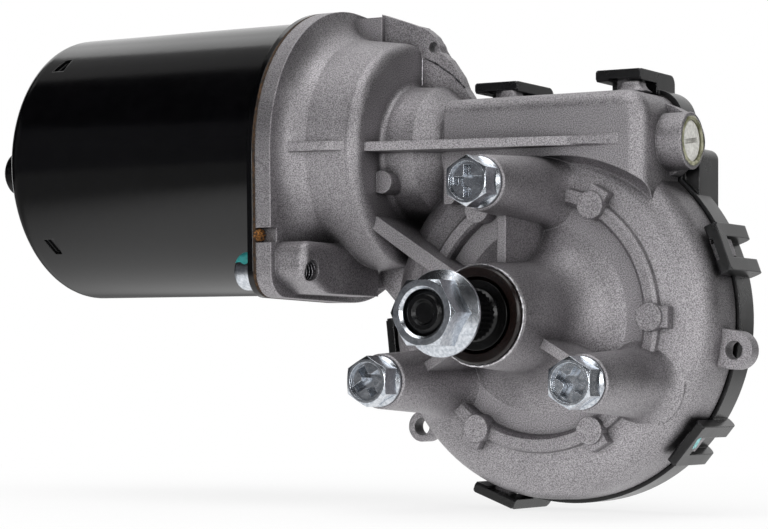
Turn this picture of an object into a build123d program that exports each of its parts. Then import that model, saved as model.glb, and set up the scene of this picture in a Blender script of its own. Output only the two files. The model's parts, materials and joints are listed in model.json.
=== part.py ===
from build123d import *
import os
from math import acos, cos, degrees, pi, radians, sin, sqrt, tan

# Wiper motor: a permanent-magnet motor in a drawn steel can, a die-cast worm gearbox and a
# crank shaft.  Millimetres, +Z up.
#
# Frame.  The origin is on the output shaft's axis, in the plane of the three mounting bosses.
# The output shaft points along -Y, the armature and its worm lie along X, above and behind the
# output shaft, with the motor can at -X.

# ---- driving dimensions -------------------------------------------------------------------
# Worm drive
MODULE = 1.25
WHEEL_TEETH = 57
CENTRE_DISTANCE = 40.5
PRESSURE_ANGLE = 20.0
FLANK_PLAY = 0.10
WHEEL_WIDTH = 10.0
WORM_TURNS = 7

# Where the worm axis runs
WORM_Y = 38.0
WORM_Z = CENTRE_DISTANCE

# Mounting: three M6 bosses round the output shaft
BOSS_CIRCLE_R = 29.5
BOSS_ANGLES = (90, 210, 330)
BOSS_TIP_R = 6.3
BOSS_ROOT_R = 7.7
BOLT_THREAD_R = 3.0
BOLT_HEX_AF = 10.0

# Gear bowl, measured along Y from the mounting plane
HUB_R = 11.5
FACE_Y = 29.0
RING_Y = 26.2
RING_INNER_R = 27.2
RING_OUTER_R = 30.8
PAD_Y = 24.4
PAD_R = 3.2
BOWL_R = 42.3
BOWL_WALL = 2.8
REAR_Y = 43.6

# Worm housing (the bar over the bowl)
BAR_FRONT_Y = 25.5
BAR_TOP_Z = 52.0
BAR_LEFT_X = -24.2
BAR_RIGHT_X = 27.9
NECK_R = 16.2
TUNNEL_R = 7.2
END_BOSS_R = 6.3
END_BOSS_X = 34.2

# Motor end
GASKET_X = -62.2
FLANGE_T = 4.3
DRUM_END_X = -39.5
DRUM_R = 27.3
DRUM_FAR_R = 33.5
FLANGE_R = 36.0
EAR_OFFSET = (28.7, 29.3)
EAR_ENDS_X = (-50.0, -49.4)
SCREW_PLACES = (EAR_OFFSET, (-30.0, -29.3))
CHAMBER_R = 24.5

# Motor can
CAN_R = 34.0
CAN_WALL = 1.8
CAN_FLANGE_X = -63.0
CAN_END_X = -141.3
CUP_R = 9.5
CUP_END_X = -158.0
NIPPLE_R = 5.75
NIPPLE_END_X = -166.0

# Armature
SHAFT_R = 4.0
CORE_R = 22.6
CORE_START_X = -127.0
CORE_END_X = -84.0
SLOTS = 12
COMMUTATOR_R = 10.5
COMMUTATOR_START_X = -72.0
COMMUTATOR_END_X = -56.0

# Output shaft
OUTPUT_R = 6.0
THREAD_R = 5.0
THREAD_END_Y = -24.2
NUT_SEAT_Y = -15.4
NUT_FRONT_Y = -24.7
NUT_AF = 14.0
NUT_FLANGE_R = 9.5

# Rear cover
COVER_R = 43.2
COVER_FRONT_Y = 44.2
COVER_BACK_Y = 53.0
COVER_WALL = 2.0
# Snap loops: shift along X, direction out of the Y axis, then the distance of the foot, of the
# arms' inner face and of their outer face
LOOPS = (
    (0, 20.5, 42.7, 43.0, 46.3),
    (0, -39.7, 42.7, 43.0, 45.5),
    (0, -110.15, 42.7, 43.0, 45.4),
    (0, 186.8, 42.7, 43.0, 45.2),
    (17.0, 90, 52.4, 54.9, 57.5),
    (-15.2, 90, 52.4, 54.0, 56.4),
)

# ---- derived ------------------------------------------------------------------------------
WHEEL_PITCH_R = MODULE * WHEEL_TEETH / 2
WORM_PITCH_R = CENTRE_DISTANCE - WHEEL_PITCH_R
AXIAL_PITCH = pi * MODULE
ADDENDUM = MODULE
DEDENDUM = 1.25 * MODULE
LEAD_SLOPE = MODULE / (2 * WORM_PITCH_R)

WORM_AXIS = Axis((0, WORM_Y, WORM_Z), (1, 0, 0))


def facing(y):
    """Sketch plane seen from the front: local x is X, local y is Z, normal -Y."""
    return Plane(origin=(0, y, 0), x_dir=(1, 0, 0), z_dir=(0, -1, 0))


def across(x):
    """Sketch plane across the worm axis: local x is Y, local y is Z, normal +X."""
    return Plane(origin=(x, WORM_Y, WORM_Z), x_dir=(0, 1, 0), z_dir=(1, 0, 0))


def along_worm():
    """Sketch plane through the worm axis: local x is X, local y is the radius."""
    return Plane(origin=(0, WORM_Y, WORM_Z), x_dir=(1, 0, 0), z_dir=(0, -1, 0))


# ---- gear housing: outer forms --------------------------------------------------------------
# The bowl is one turned form: output hub, flared face, raised pad ring, rounded shoulder, wall
with BuildPart() as bowl:
    with BuildSketch(Plane.XY):
        with BuildLine():
            hub_side = Polyline((0, 0), (HUB_R - 0.7, 0), (HUB_R, 0.7), (HUB_R + 1.0, 16))
            flare = ThreePointArc(hub_side @ 1, (15.6, 25.0), (22.0, FACE_Y))
            pad_ring = Polyline(
                flare @ 1,
                (RING_INNER_R - 0.3, FACE_Y),
                (RING_INNER_R, RING_Y + 0.7),
                (RING_INNER_R + 0.7, RING_Y),
                (RING_OUTER_R - 0.7, RING_Y),
                (RING_OUTER_R, RING_Y + 0.7),
                (RING_OUTER_R + 0.3, RING_Y + 1.8),
                (36.2, RING_Y + 2.6),
            )
            shoulder = ThreePointArc(pad_ring @ 1, (40.6, 31.9), (BOWL_R - 0.3, 37.0))
            Polyline(shoulder @ 1, (BOWL_R, REAR_Y), (0, REAR_Y), (0, 0))
        make_face()
    revolve(axis=Axis.Y)

# One mounting boss, standing on its root: drafted post with a flared foot
BOSS_HEIGHT = FACE_Y - 0.5
with BuildPart() as mounting_boss:
    with BuildSketch(Plane.XZ):
        with BuildLine():
            foot = ThreePointArc((10.6, -1.5), (8.5, 1.0), (BOSS_ROOT_R, 4.4))
            Polyline(
                foot @ 1,
                (BOSS_TIP_R, BOSS_HEIGHT - 0.4),
                (BOSS_TIP_R - 0.4, BOSS_HEIGHT),
                (0, BOSS_HEIGHT),
                (0, -1.5),
                foot @ 0,
            )
        make_face()
    revolve(axis=Axis.Z)

# Three bosses, with a thin rib from the hub to each, and six ejector pads on the ring circle
RIB_T = 2.2
with BuildPart(facing(BOSS_HEIGHT)) as front_features:
    with PolarLocations(BOSS_CIRCLE_R, 3, start_angle=BOSS_ANGLES[0]):
        add(mounting_boss.part)
    with BuildSketch(facing(FACE_Y + 1)):
        with PolarLocations(BOSS_CIRCLE_R / 2 + 2, 3, start_angle=BOSS_ANGLES[0]):
            Rectangle(BOSS_CIRCLE_R - 6, RIB_T)
    extrude(amount=FACE_Y - 9)
    with BuildSketch(facing(FACE_Y + 1)):
        with PolarLocations(BOSS_CIRCLE_R, 6):
            Circle(PAD_R)
    extrude(amount=FACE_Y + 1 - PAD_Y)
    # A block bridges the ring's outer groove behind each pad
    with BuildSketch(facing(FACE_Y + 1)):
        with PolarLocations(BOSS_CIRCLE_R + 2.2, 6):
            Rectangle(4.4, 4.8)
    extrude(amount=FACE_Y + 0.2 - PAD_Y)

# Worm housing: a bar over the bowl's shoulder, its front outline rounded from the top edge to the
# end face.  Its foot blends into the shoulder along a turned hollow.
BAR_FOOT_CENTRE = (5.06, -3.88)
BAR_FOOT_R = 41.2
BAR_CORNER_R = 6.0
BAR_LOW_Z = 27.0
with BuildPart() as worm_bar:
    with BuildSketch(facing(REAR_Y)):
        with BuildLine():
            Polyline(
                (BAR_LEFT_X, BAR_LOW_Z),
                (BAR_LEFT_X, BAR_TOP_Z),
                (BAR_RIGHT_X - BAR_CORNER_R, BAR_TOP_Z),
            )
            RadiusArc(
                (BAR_RIGHT_X - BAR_CORNER_R, BAR_TOP_Z),
                (BAR_RIGHT_X, BAR_TOP_Z - BAR_CORNER_R),
                BAR_CORNER_R,
            )
            Polyline(
                (BAR_RIGHT_X, BAR_TOP_Z - BAR_CORNER_R), (BAR_RIGHT_X, BAR_LOW_Z), (BAR_LEFT_X, BAR_LOW_Z)
            )
        make_face()
    extrude(amount=REAR_Y - BAR_FRONT_Y)
    front_outline = worm_bar.faces().sort_by(Axis.Y)[0].edges().sort_by(Axis.Z)[1:]
    fillet(front_outline.sort_by(Axis.X)[1:], 4.0)
    with BuildSketch(Plane(origin=(BAR_FOOT_CENTRE[0], 0, BAR_FOOT_CENTRE[1]))):
        with BuildLine():
            foot_side = Polyline(
                (0, BAR_FRONT_Y - 1),
                (BAR_FOOT_R, BAR_FRONT_Y - 1),
                (BAR_FOOT_R, BAR_FRONT_Y),
            )
            foot_blend = ThreePointArc(foot_side @ 1, (BAR_FOOT_R - 1.1, 28.4), (BAR_FOOT_R - 4.0, 30.0))
            Polyline(foot_blend @ 1, (0, 30.0), (0, BAR_FRONT_Y - 1))
        make_face()
    revolve(axis=Axis((BAR_FOOT_CENTRE[0], 0, BAR_FOOT_CENTRE[1]), (0, 1, 0)), mode=Mode.SUBTRACT)

# Neck and near drum turned about the worm axis, up to the can flange
with BuildPart() as motor_end:
    with BuildSketch(along_worm()):
        with BuildLine():
            flange_root = Polyline((GASKET_X, 0), (GASKET_X, 35.2), (GASKET_X + FLANGE_T, 35.2))
            drum_root = ThreePointArc(flange_root @ 1, (-56.3, 31.0), (-52.8, DRUM_R + 1.4))
            drum_side = Line(drum_root @ 1, (DRUM_END_X - 3.2, DRUM_R))
            drum_edge = ThreePointArc(drum_side @ 1, (-40.4, DRUM_R - 0.9), (DRUM_END_X, DRUM_R - 3))
            neck_root = Polyline(drum_edge @ 1, (DRUM_END_X, NECK_R + 1.2))
            neck_fillet = ThreePointArc(neck_root @ 1, (-39.1, NECK_R + 0.4), (-38.3, NECK_R))
            Polyline(
                neck_fillet @ 1,
                (-31.0, NECK_R - 0.4),
                (-25.5, 11.4),
                (-20, 11.4),
                (-20, 0),
                (GASKET_X, 0),
            )
        make_face()
    revolve(axis=WORM_AXIS)

# Can flange: a round plate drawn out to two diagonal screw ears; the ears stand further forward
with BuildPart() as can_flange:
    with BuildSketch(across(GASKET_X)):
        Circle(FLANGE_R)
        with Locations(EAR_OFFSET):
            Circle(4.8)
        with Locations((-EAR_OFFSET[0], -EAR_OFFSET[1])):
            Circle(6.3)
        make_hull()
    extrude(amount=FLANGE_T)

# The ears' thick part, kept only beyond the drum at the two corners; the lower one is longer
EAR_REACH = 33.4
EAR_TOP = 22.4
with BuildPart() as screw_ears:
    for side, end_x in zip((1, -1), EAR_ENDS_X):
        with BuildSketch(across(GASKET_X)):
            with BuildLine():
                Polyline(
                    (side * 1.0, side * (FLANGE_R - 1.4)),
                    (side * 24.0, side * (FLANGE_R - 1.4)),
                    (side * EAR_REACH, side * (EAR_REACH - 2.5)),
                    (side * EAR_REACH, side * EAR_TOP),
                    (side * 1.0, side * EAR_TOP),
                    close=True,
                )
            make_face()
        extrude(amount=end_x - GASKET_X)
    ear_edges = screw_ears.edges().filter_by(Axis.X)
    outer_corners = ear_edges.filter_by(lambda edge: abs(edge.center().Y - WORM_Y) > 30)
    fillet(outer_corners, 3.5)
    lower_front = screw_ears.edges().filter_by(Axis.Z).sort_by(Axis.Y)[:2].sort_by(Axis.X)[-1]
    fillet(lower_front, 2.0)

# Far side of the motor end is wider than the near side, with the same axis
with BuildPart() as far_drum:
    with BuildSketch(across(GASKET_X)):
        Circle(DRUM_FAR_R)
        with Locations((-21, 0)):
            Rectangle(60, 80, mode=Mode.SUBTRACT)
    extrude(amount=DRUM_END_X - 1.5 - GASKET_X)
    fillet(far_drum.faces().sort_by(Axis.X)[-1].edges(), 1.2)

# Rear plate: the flat back of the casting that joins the bowl, the bar and the motor end, with a
# small hole in its upper corner
PLATE_T = 3.0
PLATE_HOLE = (-36.2, 66.8)
PLATE_HOLE_R = 1.3
with BuildPart() as rear_plate:
    with BuildSketch(facing(REAR_Y)):
        with BuildLine():
            Polyline(
                (-51.0, 13.8),
                (-51.0, 10.3),
                (-50.3, 8.3),
                (-49.1, 7.4),
                (-46.4, 4.6),
                (-44, 3.2),
                (-42.5, 1.5),
                (-34, 1.5),
                (-34, -12),
                (-30, -18),
                (0, -18),
                (0, 50),
                (-24.2, 52),
                (-27.3, 56.4),
                (-28.5, 59.2),
                (-31.7, 63.6),
                (-34.2, 65.6),
                (-34.4, 67.3),
                (-35.8, 69.5),
                (-38.1, 71.4),
                (-44, 73.6),
                (-51.0, 76.0),
                (-51.0, 13.8),
            )
        make_face()
    extrude(amount=PLATE_T)

# Stiffening ribs on the parting plane.  The long one spreads and dies out on the bar's right part
RIB_Z = WORM_Z
FAN_X = (6.0, 21.6)
with BuildPart() as parting_ribs:
    with BuildSketch(Plane.XY.offset(RIB_Z - RIB_T / 2)):
        with BuildLine():
            Polyline(
                (DRUM_END_X - 2, 14.2),
                (FAN_X[0], 23.6),
                (14, BAR_FRONT_Y),
                (14, 32),
                (DRUM_END_X - 2, 32),
                close=True,
            )
        make_face()
        with BuildLine():
            Polyline((-60, 6.4), (-46.5, 8.6), (-43, 10.6), (-43, 16), (-60, 16), close=True)
        make_face()
    extrude(amount=RIB_T)
    for x, rise, half in zip(FAN_X, (1.4, 0.15), (RIB_T / 2 + 0.1, 2.1)):
        with BuildSketch(Plane(origin=(x, BAR_FRONT_Y, RIB_Z), x_dir=(0, 1, 0), z_dir=(1, 0, 0))):
            with BuildLine():
                Polyline((-rise, -half / 2), (-rise, half / 2), (0.5, half), (0.5, -half), close=True)
            make_face()
    loft(ruled=True)

# A deep plate rib runs from the drum's end face towards the hub
HUB_RIB_FRONT_Y = 20.0
with BuildPart() as hub_rib:
    with BuildSketch(facing(REAR_Y - 1)):
        with BuildLine():
            Polyline(
                (-42, 22.4),
                (-39.4, 20.5),
                (-30.1, 14.4),
                (-12, 3),
                (-8, 5.6),
                (-19.2, 11.7),
                (-37.2, 22.9),
                (-42, 26),
                close=True,
            )
        make_face()
    extrude(amount=REAR_Y - 1 - HUB_RIB_FRONT_Y)

# Ejector pad, half of it buried in the drum's end face
DRUM_PAD_R = 2.75
with BuildPart() as drum_pad:
    with BuildSketch(facing(30)):
        with Locations((DRUM_END_X + 1.4, 32.45)):
            Circle(DRUM_PAD_R)
    extrude(amount=10)

# End of the worm housing: thrust-screw boss with a web plate behind it
with BuildPart() as end_boss:
    with BuildSketch(across(BAR_RIGHT_X - 4)):
        Circle(END_BOSS_R + 0.3)
    extrude(amount=END_BOSS_X - BAR_RIGHT_X + 4)
    chamfer(end_boss.faces().sort_by(Axis.X)[-1].edges(), 0.3)
    with BuildSketch(facing(REAR_Y)):
        with BuildLine():
            web_top = Polyline((20, 51.8), (24.4, 50.6), (29.0, 48.6), (32.2, 46.8))
            web_curve = ThreePointArc(web_top @ 1, (34.5, 42.6), (34.3, 37.6))
            Polyline(web_curve @ 1, (28.9, 33.0), (25.0, 32.0), (20, 30), (20, 51.8))
        make_face()
    extrude(amount=4.4)

# Two drilled lugs on the bowl's rim, for a wiring clip or a bracket screw
# Each lug: angle, distance of the hole from the Y axis, end radius
LUGS = ((-9.2, 45.2, 4.4), (214.9, 44.8, 3.7))
LUG_Y = (37.2, 41.2)
LUG_HOLE_R = 2.1
with BuildPart() as rim_lugs:
    for angle, hole_at, end_r in LUGS:
        with BuildSketch(facing(LUG_Y[1])):
            with Locations(Location((0, 0, 0), (0, 0, angle))):
                with Locations((hole_at, 0)):
                    Circle(end_r)
                with Locations((hole_at - 3, 0)):
                    Rectangle(6, 2 * end_r)
        extrude(amount=LUG_Y[1] - LUG_Y[0])

# Wedge catches that the cover's snap loops hook over, each on a wider foot
CATCH_W = 4.2
CATCH_FOOT_W = 6.0
CATCH_Y = (38.2, 41.4)
with BuildPart() as catches:
    for x, angle, foot, inner, outer in LOOPS:
        with BuildSketch(facing(CATCH_Y[1])):
            with Locations(Location((x, 0, 0), (0, 0, angle))):
                with Locations(((foot + outer) / 2 - 1.2, 0)):
                    Rectangle(outer - foot + 1.2, CATCH_W)
                with Locations((foot - 1.6, 0)):
                    Rectangle(2.4, CATCH_FOOT_W)
        extrude(amount=CATCH_Y[1] - CATCH_Y[0])

# ---- gear housing: cavities -----------------------------------------------------------------
BUSH_OD_R = 8.5
SEAL_OD_R = 9.8
SEAL_DEPTH = 3.7
CAVITY_FLOOR_Y = 31.8
with BuildPart() as gear_cavity:
    with BuildSketch(Plane.XY):
        with BuildLine():
            Polyline(
                (0, -1),
                (SEAL_OD_R, -1),
                (SEAL_OD_R, SEAL_DEPTH),
                (BUSH_OD_R, SEAL_DEPTH),
                (BUSH_OD_R, CAVITY_FLOOR_Y),
                (37.2, CAVITY_FLOOR_Y),
                (BOWL_R - BOWL_WALL, 34.5),
                (BOWL_R - BOWL_WALL, REAR_Y + 1),
                (0, REAR_Y + 1),
                close=True,
            )
        make_face()
    revolve(axis=Axis.Y)

# Everything turned about the worm axis: brush chamber, bush seats, worm tunnel, thrust screw
NECK_BUSH_R = 8.0
NECK_BUSH_X = (-41.0, -31.0)
NOSE_BUSH_R = 5.6
NOSE_BUSH_X = (16.0, 24.0)
THRUST_R = 4.9
LOCK_RING_R = 5.6
with BuildPart() as worm_cavity:
    with BuildSketch(along_worm()):
        with BuildLine():
            Polyline(
                (GASKET_X - 1, 0),
                (GASKET_X - 1, CHAMBER_R),
                (-44.5, CHAMBER_R),
                (-43.0, CHAMBER_R - 1.5),
                (-43.0, NECK_BUSH_R + 1.5),
                (NECK_BUSH_X[0], NECK_BUSH_R),
                (NECK_BUSH_X[1], NECK_BUSH_R),
                (NECK_BUSH_X[1], 6.5),
                (-28, 6.5),
                (-27, TUNNEL_R),
                (NOSE_BUSH_X[0] - 0.5, TUNNEL_R),
                (NOSE_BUSH_X[0] - 0.5, NOSE_BUSH_R),
                (NOSE_BUSH_X[1], NOSE_BUSH_R),
                (NOSE_BUSH_X[1], THRUST_R),
                (END_BOSS_X - 0.8, THRUST_R),
                (END_BOSS_X - 0.8, LOCK_RING_R),
                (END_BOSS_X + 1, LOCK_RING_R),
                (END_BOSS_X + 1, 0),
                close=True,
            )
        make_face()
    revolve(axis=WORM_AXIS)

# Clearance for the cover, the channel for the brush leads and every drilled hole
BOLT_HOLE_DEPTH = 20.0
EAR_THREAD_R = 2.5
# Notch in the can flange's front edge, open on the gasket
NOTCH_Z = 19.5
NOTCH_W = 3.5
NOTCH_DEPTH = 3.2
with BuildPart() as housing_cuts:
    with BuildSketch(facing(REAR_Y)):
        with Locations((20, 0)):
            Rectangle(91, 140)
    extrude(amount=-20)
    with BuildSketch(facing(-1)):
        with PolarLocations(BOSS_CIRCLE_R, 3, start_angle=BOSS_ANGLES[0]):
            Circle(BOLT_THREAD_R + 0.05)
    extrude(amount=-(BOLT_HOLE_DEPTH + 1))
    with BuildSketch(across(GASKET_X - 1)):
        with Locations(*SCREW_PLACES):
            Circle(EAR_THREAD_R)
    extrude(amount=EAR_ENDS_X[1] - GASKET_X + 2)
    with BuildSketch(facing(REAR_Y + 1)):
        for angle, hole_at, end_r in LUGS:
            with Locations(Location((0, 0, 0), (0, 0, angle))):
                with Locations((hole_at, 0)):
                    Circle(LUG_HOLE_R)
        with Locations(PLATE_HOLE):
            Circle(PLATE_HOLE_R)
    extrude(amount=REAR_Y + 2 - LUG_Y[0])
    with BuildSketch(across(-46)):
        with Locations((10.7, 0)):
            Rectangle(3.4, 9)
    extrude(amount=22)
    with BuildSketch(across(GASKET_X - 1)):
        with Locations((-FLANGE_R, NOTCH_Z - WORM_Z)):
            Rectangle(2 * NOTCH_DEPTH, NOTCH_W)
    extrude(amount=FLANGE_T + 1)

# The nose bush needs metal behind it, inside the cover
with BuildPart() as nose_seat:
    with BuildSketch(across(NOSE_BUSH_X[0] - 0.5)):
        Circle(NOSE_BUSH_R + 2.2)
    extrude(amount=10)

with BuildPart() as gear_housing:
    add(bowl.part)
    add(front_features.part)
    add(worm_bar.part)
    add(motor_end.part)
    add(can_flange.part)
    add(screw_ears.part)
    add(far_drum.part)
    add(rear_plate.part)
    add(parting_ribs.part)
    add(hub_rib.part)
    add(drum_pad.part)
    add(end_boss.part)
    add(rim_lugs.part)
    add(catches.part)
    add(housing_cuts.part, mode=Mode.SUBTRACT)
    add(nose_seat.part)
    add(gear_cavity.part, mode=Mode.SUBTRACT)
    add(worm_cavity.part, mode=Mode.SUBTRACT)
gear_housing.part.label = "gear_housing"

# ---- motor can ------------------------------------------------------------------------------
# Deep-drawn: one wall thickness, a rounded shoulder, a sloping end and a bearing cup
CAN_SHOULDER_R = 5.0
CAN_FLANGE_T = 1.6
# Stakes pressed into the wall stop the magnets' rear ends, two for each magnet: angle, lean
STAKES = ((133.2, 1), (219.9, -1), (313.2, 1), (39.9, -1))
STAKE_X = (-133.2, -131.6, -129.5)
STAKE_HALF_W = 2.3
STAKE_DEPTH = 1.0
with BuildPart() as motor_can:
    with BuildSketch(along_worm()):
        with BuildLine():
            side = Line((CAN_FLANGE_X, CAN_R), (CAN_END_X + CAN_SHOULDER_R, CAN_R))
            shoulder_out = JernArc(side @ 1, (-1, 0), CAN_SHOULDER_R, 78)
            cup_root = Line(shoulder_out @ 1, (-147.6, CUP_R + 3.5))
            cup_flare = ThreePointArc(cup_root @ 1, (-148.6, CUP_R + 1.1), (-150.4, CUP_R))
            cup_side = Line(cup_flare @ 1, (CUP_END_X + 2, CUP_R))
            cup_edge = ThreePointArc(cup_side @ 1, (CUP_END_X + 0.5, CUP_R - 0.6), (CUP_END_X, CUP_R - 2))
            Polyline(
                cup_edge @ 1,
                (CUP_END_X, NIPPLE_R),
                (NIPPLE_END_X + 1, NIPPLE_R),
                (NIPPLE_END_X, NIPPLE_R - 1),
                (NIPPLE_END_X, 0),
                (NIPPLE_END_X + CAN_WALL, 0),
                (NIPPLE_END_X + CAN_WALL, NIPPLE_R - CAN_WALL),
                (CUP_END_X + CAN_WALL, NIPPLE_R - CAN_WALL),
                (CUP_END_X + CAN_WALL, CUP_R - CAN_WALL),
                (-148.8, CUP_R - CAN_WALL),
                (-146.2, CUP_R + 3.5),
                (-140.2, CAN_R - 6.2),
                (-138.6, CAN_R - CAN_WALL),
                (CAN_FLANGE_X, CAN_R - CAN_WALL),
                (CAN_FLANGE_X, CAN_R),
            )
        make_face()
    revolve(axis=WORM_AXIS)
    with BuildSketch(across(CAN_FLANGE_X)):
        Circle(FLANGE_R)
        with Locations(EAR_OFFSET):
            Circle(4.8)
        with Locations((-EAR_OFFSET[0], -EAR_OFFSET[1])):
            Circle(6.3)
        make_hull()
        Circle(CAN_R - CAN_WALL, mode=Mode.SUBTRACT)
        with Locations(*SCREW_PLACES):
            Circle(EAR_THREAD_R + 0.3, mode=Mode.SUBTRACT)
    extrude(amount=-CAN_FLANGE_T)
    for angle, lean in STAKES:
        outward = (0, cos(radians(angle)), sin(radians(angle)))
        over_wall = (0, WORM_Y + (CAN_R + 1) * outward[1], WORM_Z + (CAN_R + 1) * outward[2])
        with BuildSketch(Plane(origin=over_wall, x_dir=(1, 0, 0), z_dir=outward)):
            with BuildLine():
                Polyline(
                    (STAKE_X[0], -lean * STAKE_HALF_W),
                    (STAKE_X[2], -lean * STAKE_HALF_W),
                    (STAKE_X[2], lean * STAKE_HALF_W),
                    (STAKE_X[1], lean * STAKE_HALF_W),
                    close=True,
                )
            make_face()
        extrude(amount=-STAKE_DEPTH - 1, mode=Mode.SUBTRACT)
motor_can.part.label = "motor_can"

with BuildPart() as can_gasket:
    with BuildSketch(across(CAN_FLANGE_X)):
        Circle(FLANGE_R)
        with Locations(EAR_OFFSET):
            Circle(4.8)
        with Locations((-EAR_OFFSET[0], -EAR_OFFSET[1])):
            Circle(6.3)
        make_hull()
        Circle(CAN_R - CAN_WALL, mode=Mode.SUBTRACT)
        with Locations(*SCREW_PLACES):
            Circle(EAR_THREAD_R + 0.3, mode=Mode.SUBTRACT)
    extrude(amount=GASKET_X - CAN_FLANGE_X)
can_gasket.part.label = "can_gasket"

# Two M5 screws, heads on the can side
SCREW_HEAD_R = 4.6
SCREW_HEAD_H = 5.2
SCREW_HEAD_ROUND = 2.0
SCREW_END_X = -56.0
with BuildPart() as can_screws:
    head_seat = CAN_FLANGE_X - CAN_FLANGE_T
    with BuildSketch(across(head_seat)):
        with Locations(*SCREW_PLACES):
            Circle(SCREW_HEAD_R)
    extrude(amount=-SCREW_HEAD_H)
    fillet(can_screws.edges().group_by(Axis.X)[0], SCREW_HEAD_ROUND)
    with BuildSketch(across(head_seat - SCREW_HEAD_H)):
        with Locations(*SCREW_PLACES):
            Rectangle(5.0, 1.2)
            Rectangle(1.2, 5.0)
    extrude(amount=2.2, mode=Mode.SUBTRACT)
    with BuildSketch(across(head_seat - 0.5)):
        with Locations(*SCREW_PLACES):
            Circle(EAR_THREAD_R)
    extrude(amount=SCREW_END_X - head_seat + 0.5)
can_screws.part.label = "can_screws"

# ---- magnets and rear bearing ---------------------------------------------------------------
MAGNET_INNER_R = 23.5
MAGNET_OUTER_R = CAN_R - CAN_WALL
MAGNET_X = (-130.0, -78.0)
MAGNET_HALF_ANGLE = 62.0
with BuildPart() as field_magnets:
    with BuildSketch(across(MAGNET_X[0])):
        Circle(MAGNET_OUTER_R)
        Circle(MAGNET_INNER_R, mode=Mode.SUBTRACT)
        gap = MAGNET_OUTER_R * tan(radians(90 - MAGNET_HALF_ANGLE))
        with BuildLine():
            Polyline((0, 0), (gap, 40), (-gap, 40), close=True)
        make_face(mode=Mode.SUBTRACT)
        with BuildLine():
            Polyline((0, 0), (gap, -40), (-gap, -40), close=True)
        make_face(mode=Mode.SUBTRACT)
    extrude(amount=MAGNET_X[1] - MAGNET_X[0])
field_magnets.part.label = "field_magnets"

# Spring clips that spread the magnets against the can wall, one in each gap
with BuildPart() as magnet_springs:
    with BuildSketch(across(MAGNET_X[0] + 6)):
        Circle(MAGNET_OUTER_R - 0.2)
        Circle(MAGNET_OUTER_R - 1.2, mode=Mode.SUBTRACT)
        with Locations((22, 0), (-22, 0)):
            Rectangle(26, 80, mode=Mode.SUBTRACT)
    extrude(amount=40)
magnet_springs.part.label = "magnet_springs"

CAN_BUSH_X = (-156.0, -149.5)
with BuildPart() as can_bush:
    with BuildSketch(across(CAN_BUSH_X[0])):
        Circle(CUP_R - CAN_WALL)
        Circle(SHAFT_R + 0.03, mode=Mode.SUBTRACT)
    extrude(amount=CAN_BUSH_X[1] - CAN_BUSH_X[0])
can_bush.part.label = "can_bush"

# ---- armature -------------------------------------------------------------------------------
WORM_TIP_R = WORM_PITCH_R + ADDENDUM
WORM_ROOT_R = WORM_PITCH_R - DEDENDUM
JOURNAL_R = 3.0
SHAFT_START_X = -155.6
SHAFT_END_X = 25.0


def worm_half_width(radius):
    """Half the thread's thickness along the axis, at a radius."""
    return AXIAL_PITCH / 4 - FLANK_PLAY - (radius - WORM_PITCH_R) * tan(radians(PRESSURE_ANGLE))


# The worm stands on +Z here and is laid along the worm axis afterwards
ROOT_OVERLAP = 0.25
THREAD_START = -AXIAL_PITCH * WORM_TURNS / 2
WORM_HALF = 15.6
with BuildPart() as worm_thread:
    with BuildLine():
        Helix(AXIAL_PITCH, AXIAL_PITCH * WORM_TURNS, WORM_PITCH_R, center=(0, 0, THREAD_START))
    with BuildSketch(Plane.XZ):
        with BuildLine():
            foot_r = WORM_ROOT_R - ROOT_OVERLAP
            Polyline(
                (foot_r, THREAD_START - worm_half_width(foot_r)),
                (WORM_TIP_R, THREAD_START - worm_half_width(WORM_TIP_R)),
                (WORM_TIP_R, THREAD_START + worm_half_width(WORM_TIP_R)),
                (foot_r, THREAD_START + worm_half_width(foot_r)),
                close=True,
            )
        make_face()
    sweep(is_frenet=True)
    Cylinder(WORM_ROOT_R, 2 * WORM_HALF)

# The thread starts on the side towards the wheel
WORM_PLANE = Plane(origin=(0, WORM_Y, WORM_Z), x_dir=(0, 0, -1), z_dir=(1, 0, 0))
with BuildPart() as armature_shaft:
    add(WORM_PLANE.location * worm_thread.part)
    with BuildSketch(across(-WORM_HALF)):
        Circle(WORM_ROOT_R)
    extrude(amount=-1.0)
    with BuildSketch(across(-WORM_HALF - 1.0)):
        Circle(SHAFT_R)
    extrude(amount=SHAFT_START_X + WORM_HALF + 1.0)
    chamfer(armature_shaft.edges().group_by(Axis.X)[0], 0.6)
    with BuildSketch(across(WORM_HALF)):
        Circle(JOURNAL_R)
    extrude(amount=SHAFT_END_X - WORM_HALF)
    chamfer(armature_shaft.edges().group_by(Axis.X)[-1], 0.5)
armature_shaft.part.label = "armature_shaft"


def involute(angle):
    return tan(angle) - angle


def tooth_half_angle(radius):
    """Half the angle that an involute wheel tooth covers at a radius, in degrees."""
    base_r = WHEEL_PITCH_R * cos(radians(PRESSURE_ANGLE))
    at_pitch = (AXIAL_PITCH / 4 - FLANK_PLAY) / WHEEL_PITCH_R
    return degrees(at_pitch + involute(radians(PRESSURE_ANGLE)) - involute(acos(base_r / radius)))


def tooth_outline(turn):
    """Corner points of the toothed outline, turned by an angle in degrees."""
    radii = (WHEEL_PITCH_R - DEDENDUM, WHEEL_PITCH_R, WHEEL_PITCH_R + ADDENDUM)
    rising = [(r, -tooth_half_angle(r)) for r in radii]
    falling = [(r, tooth_half_angle(r)) for r in reversed(radii)]
    points = []
    for tooth in range(WHEEL_TEETH):
        centre = turn + 90 + (tooth + 0.5 + WORM_TURNS / 2) * 360 / WHEEL_TEETH
        for r, offset in rising + falling:
            angle = radians(centre + offset)
            points.append((r * cos(angle), r * sin(angle)))
    return points


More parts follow.
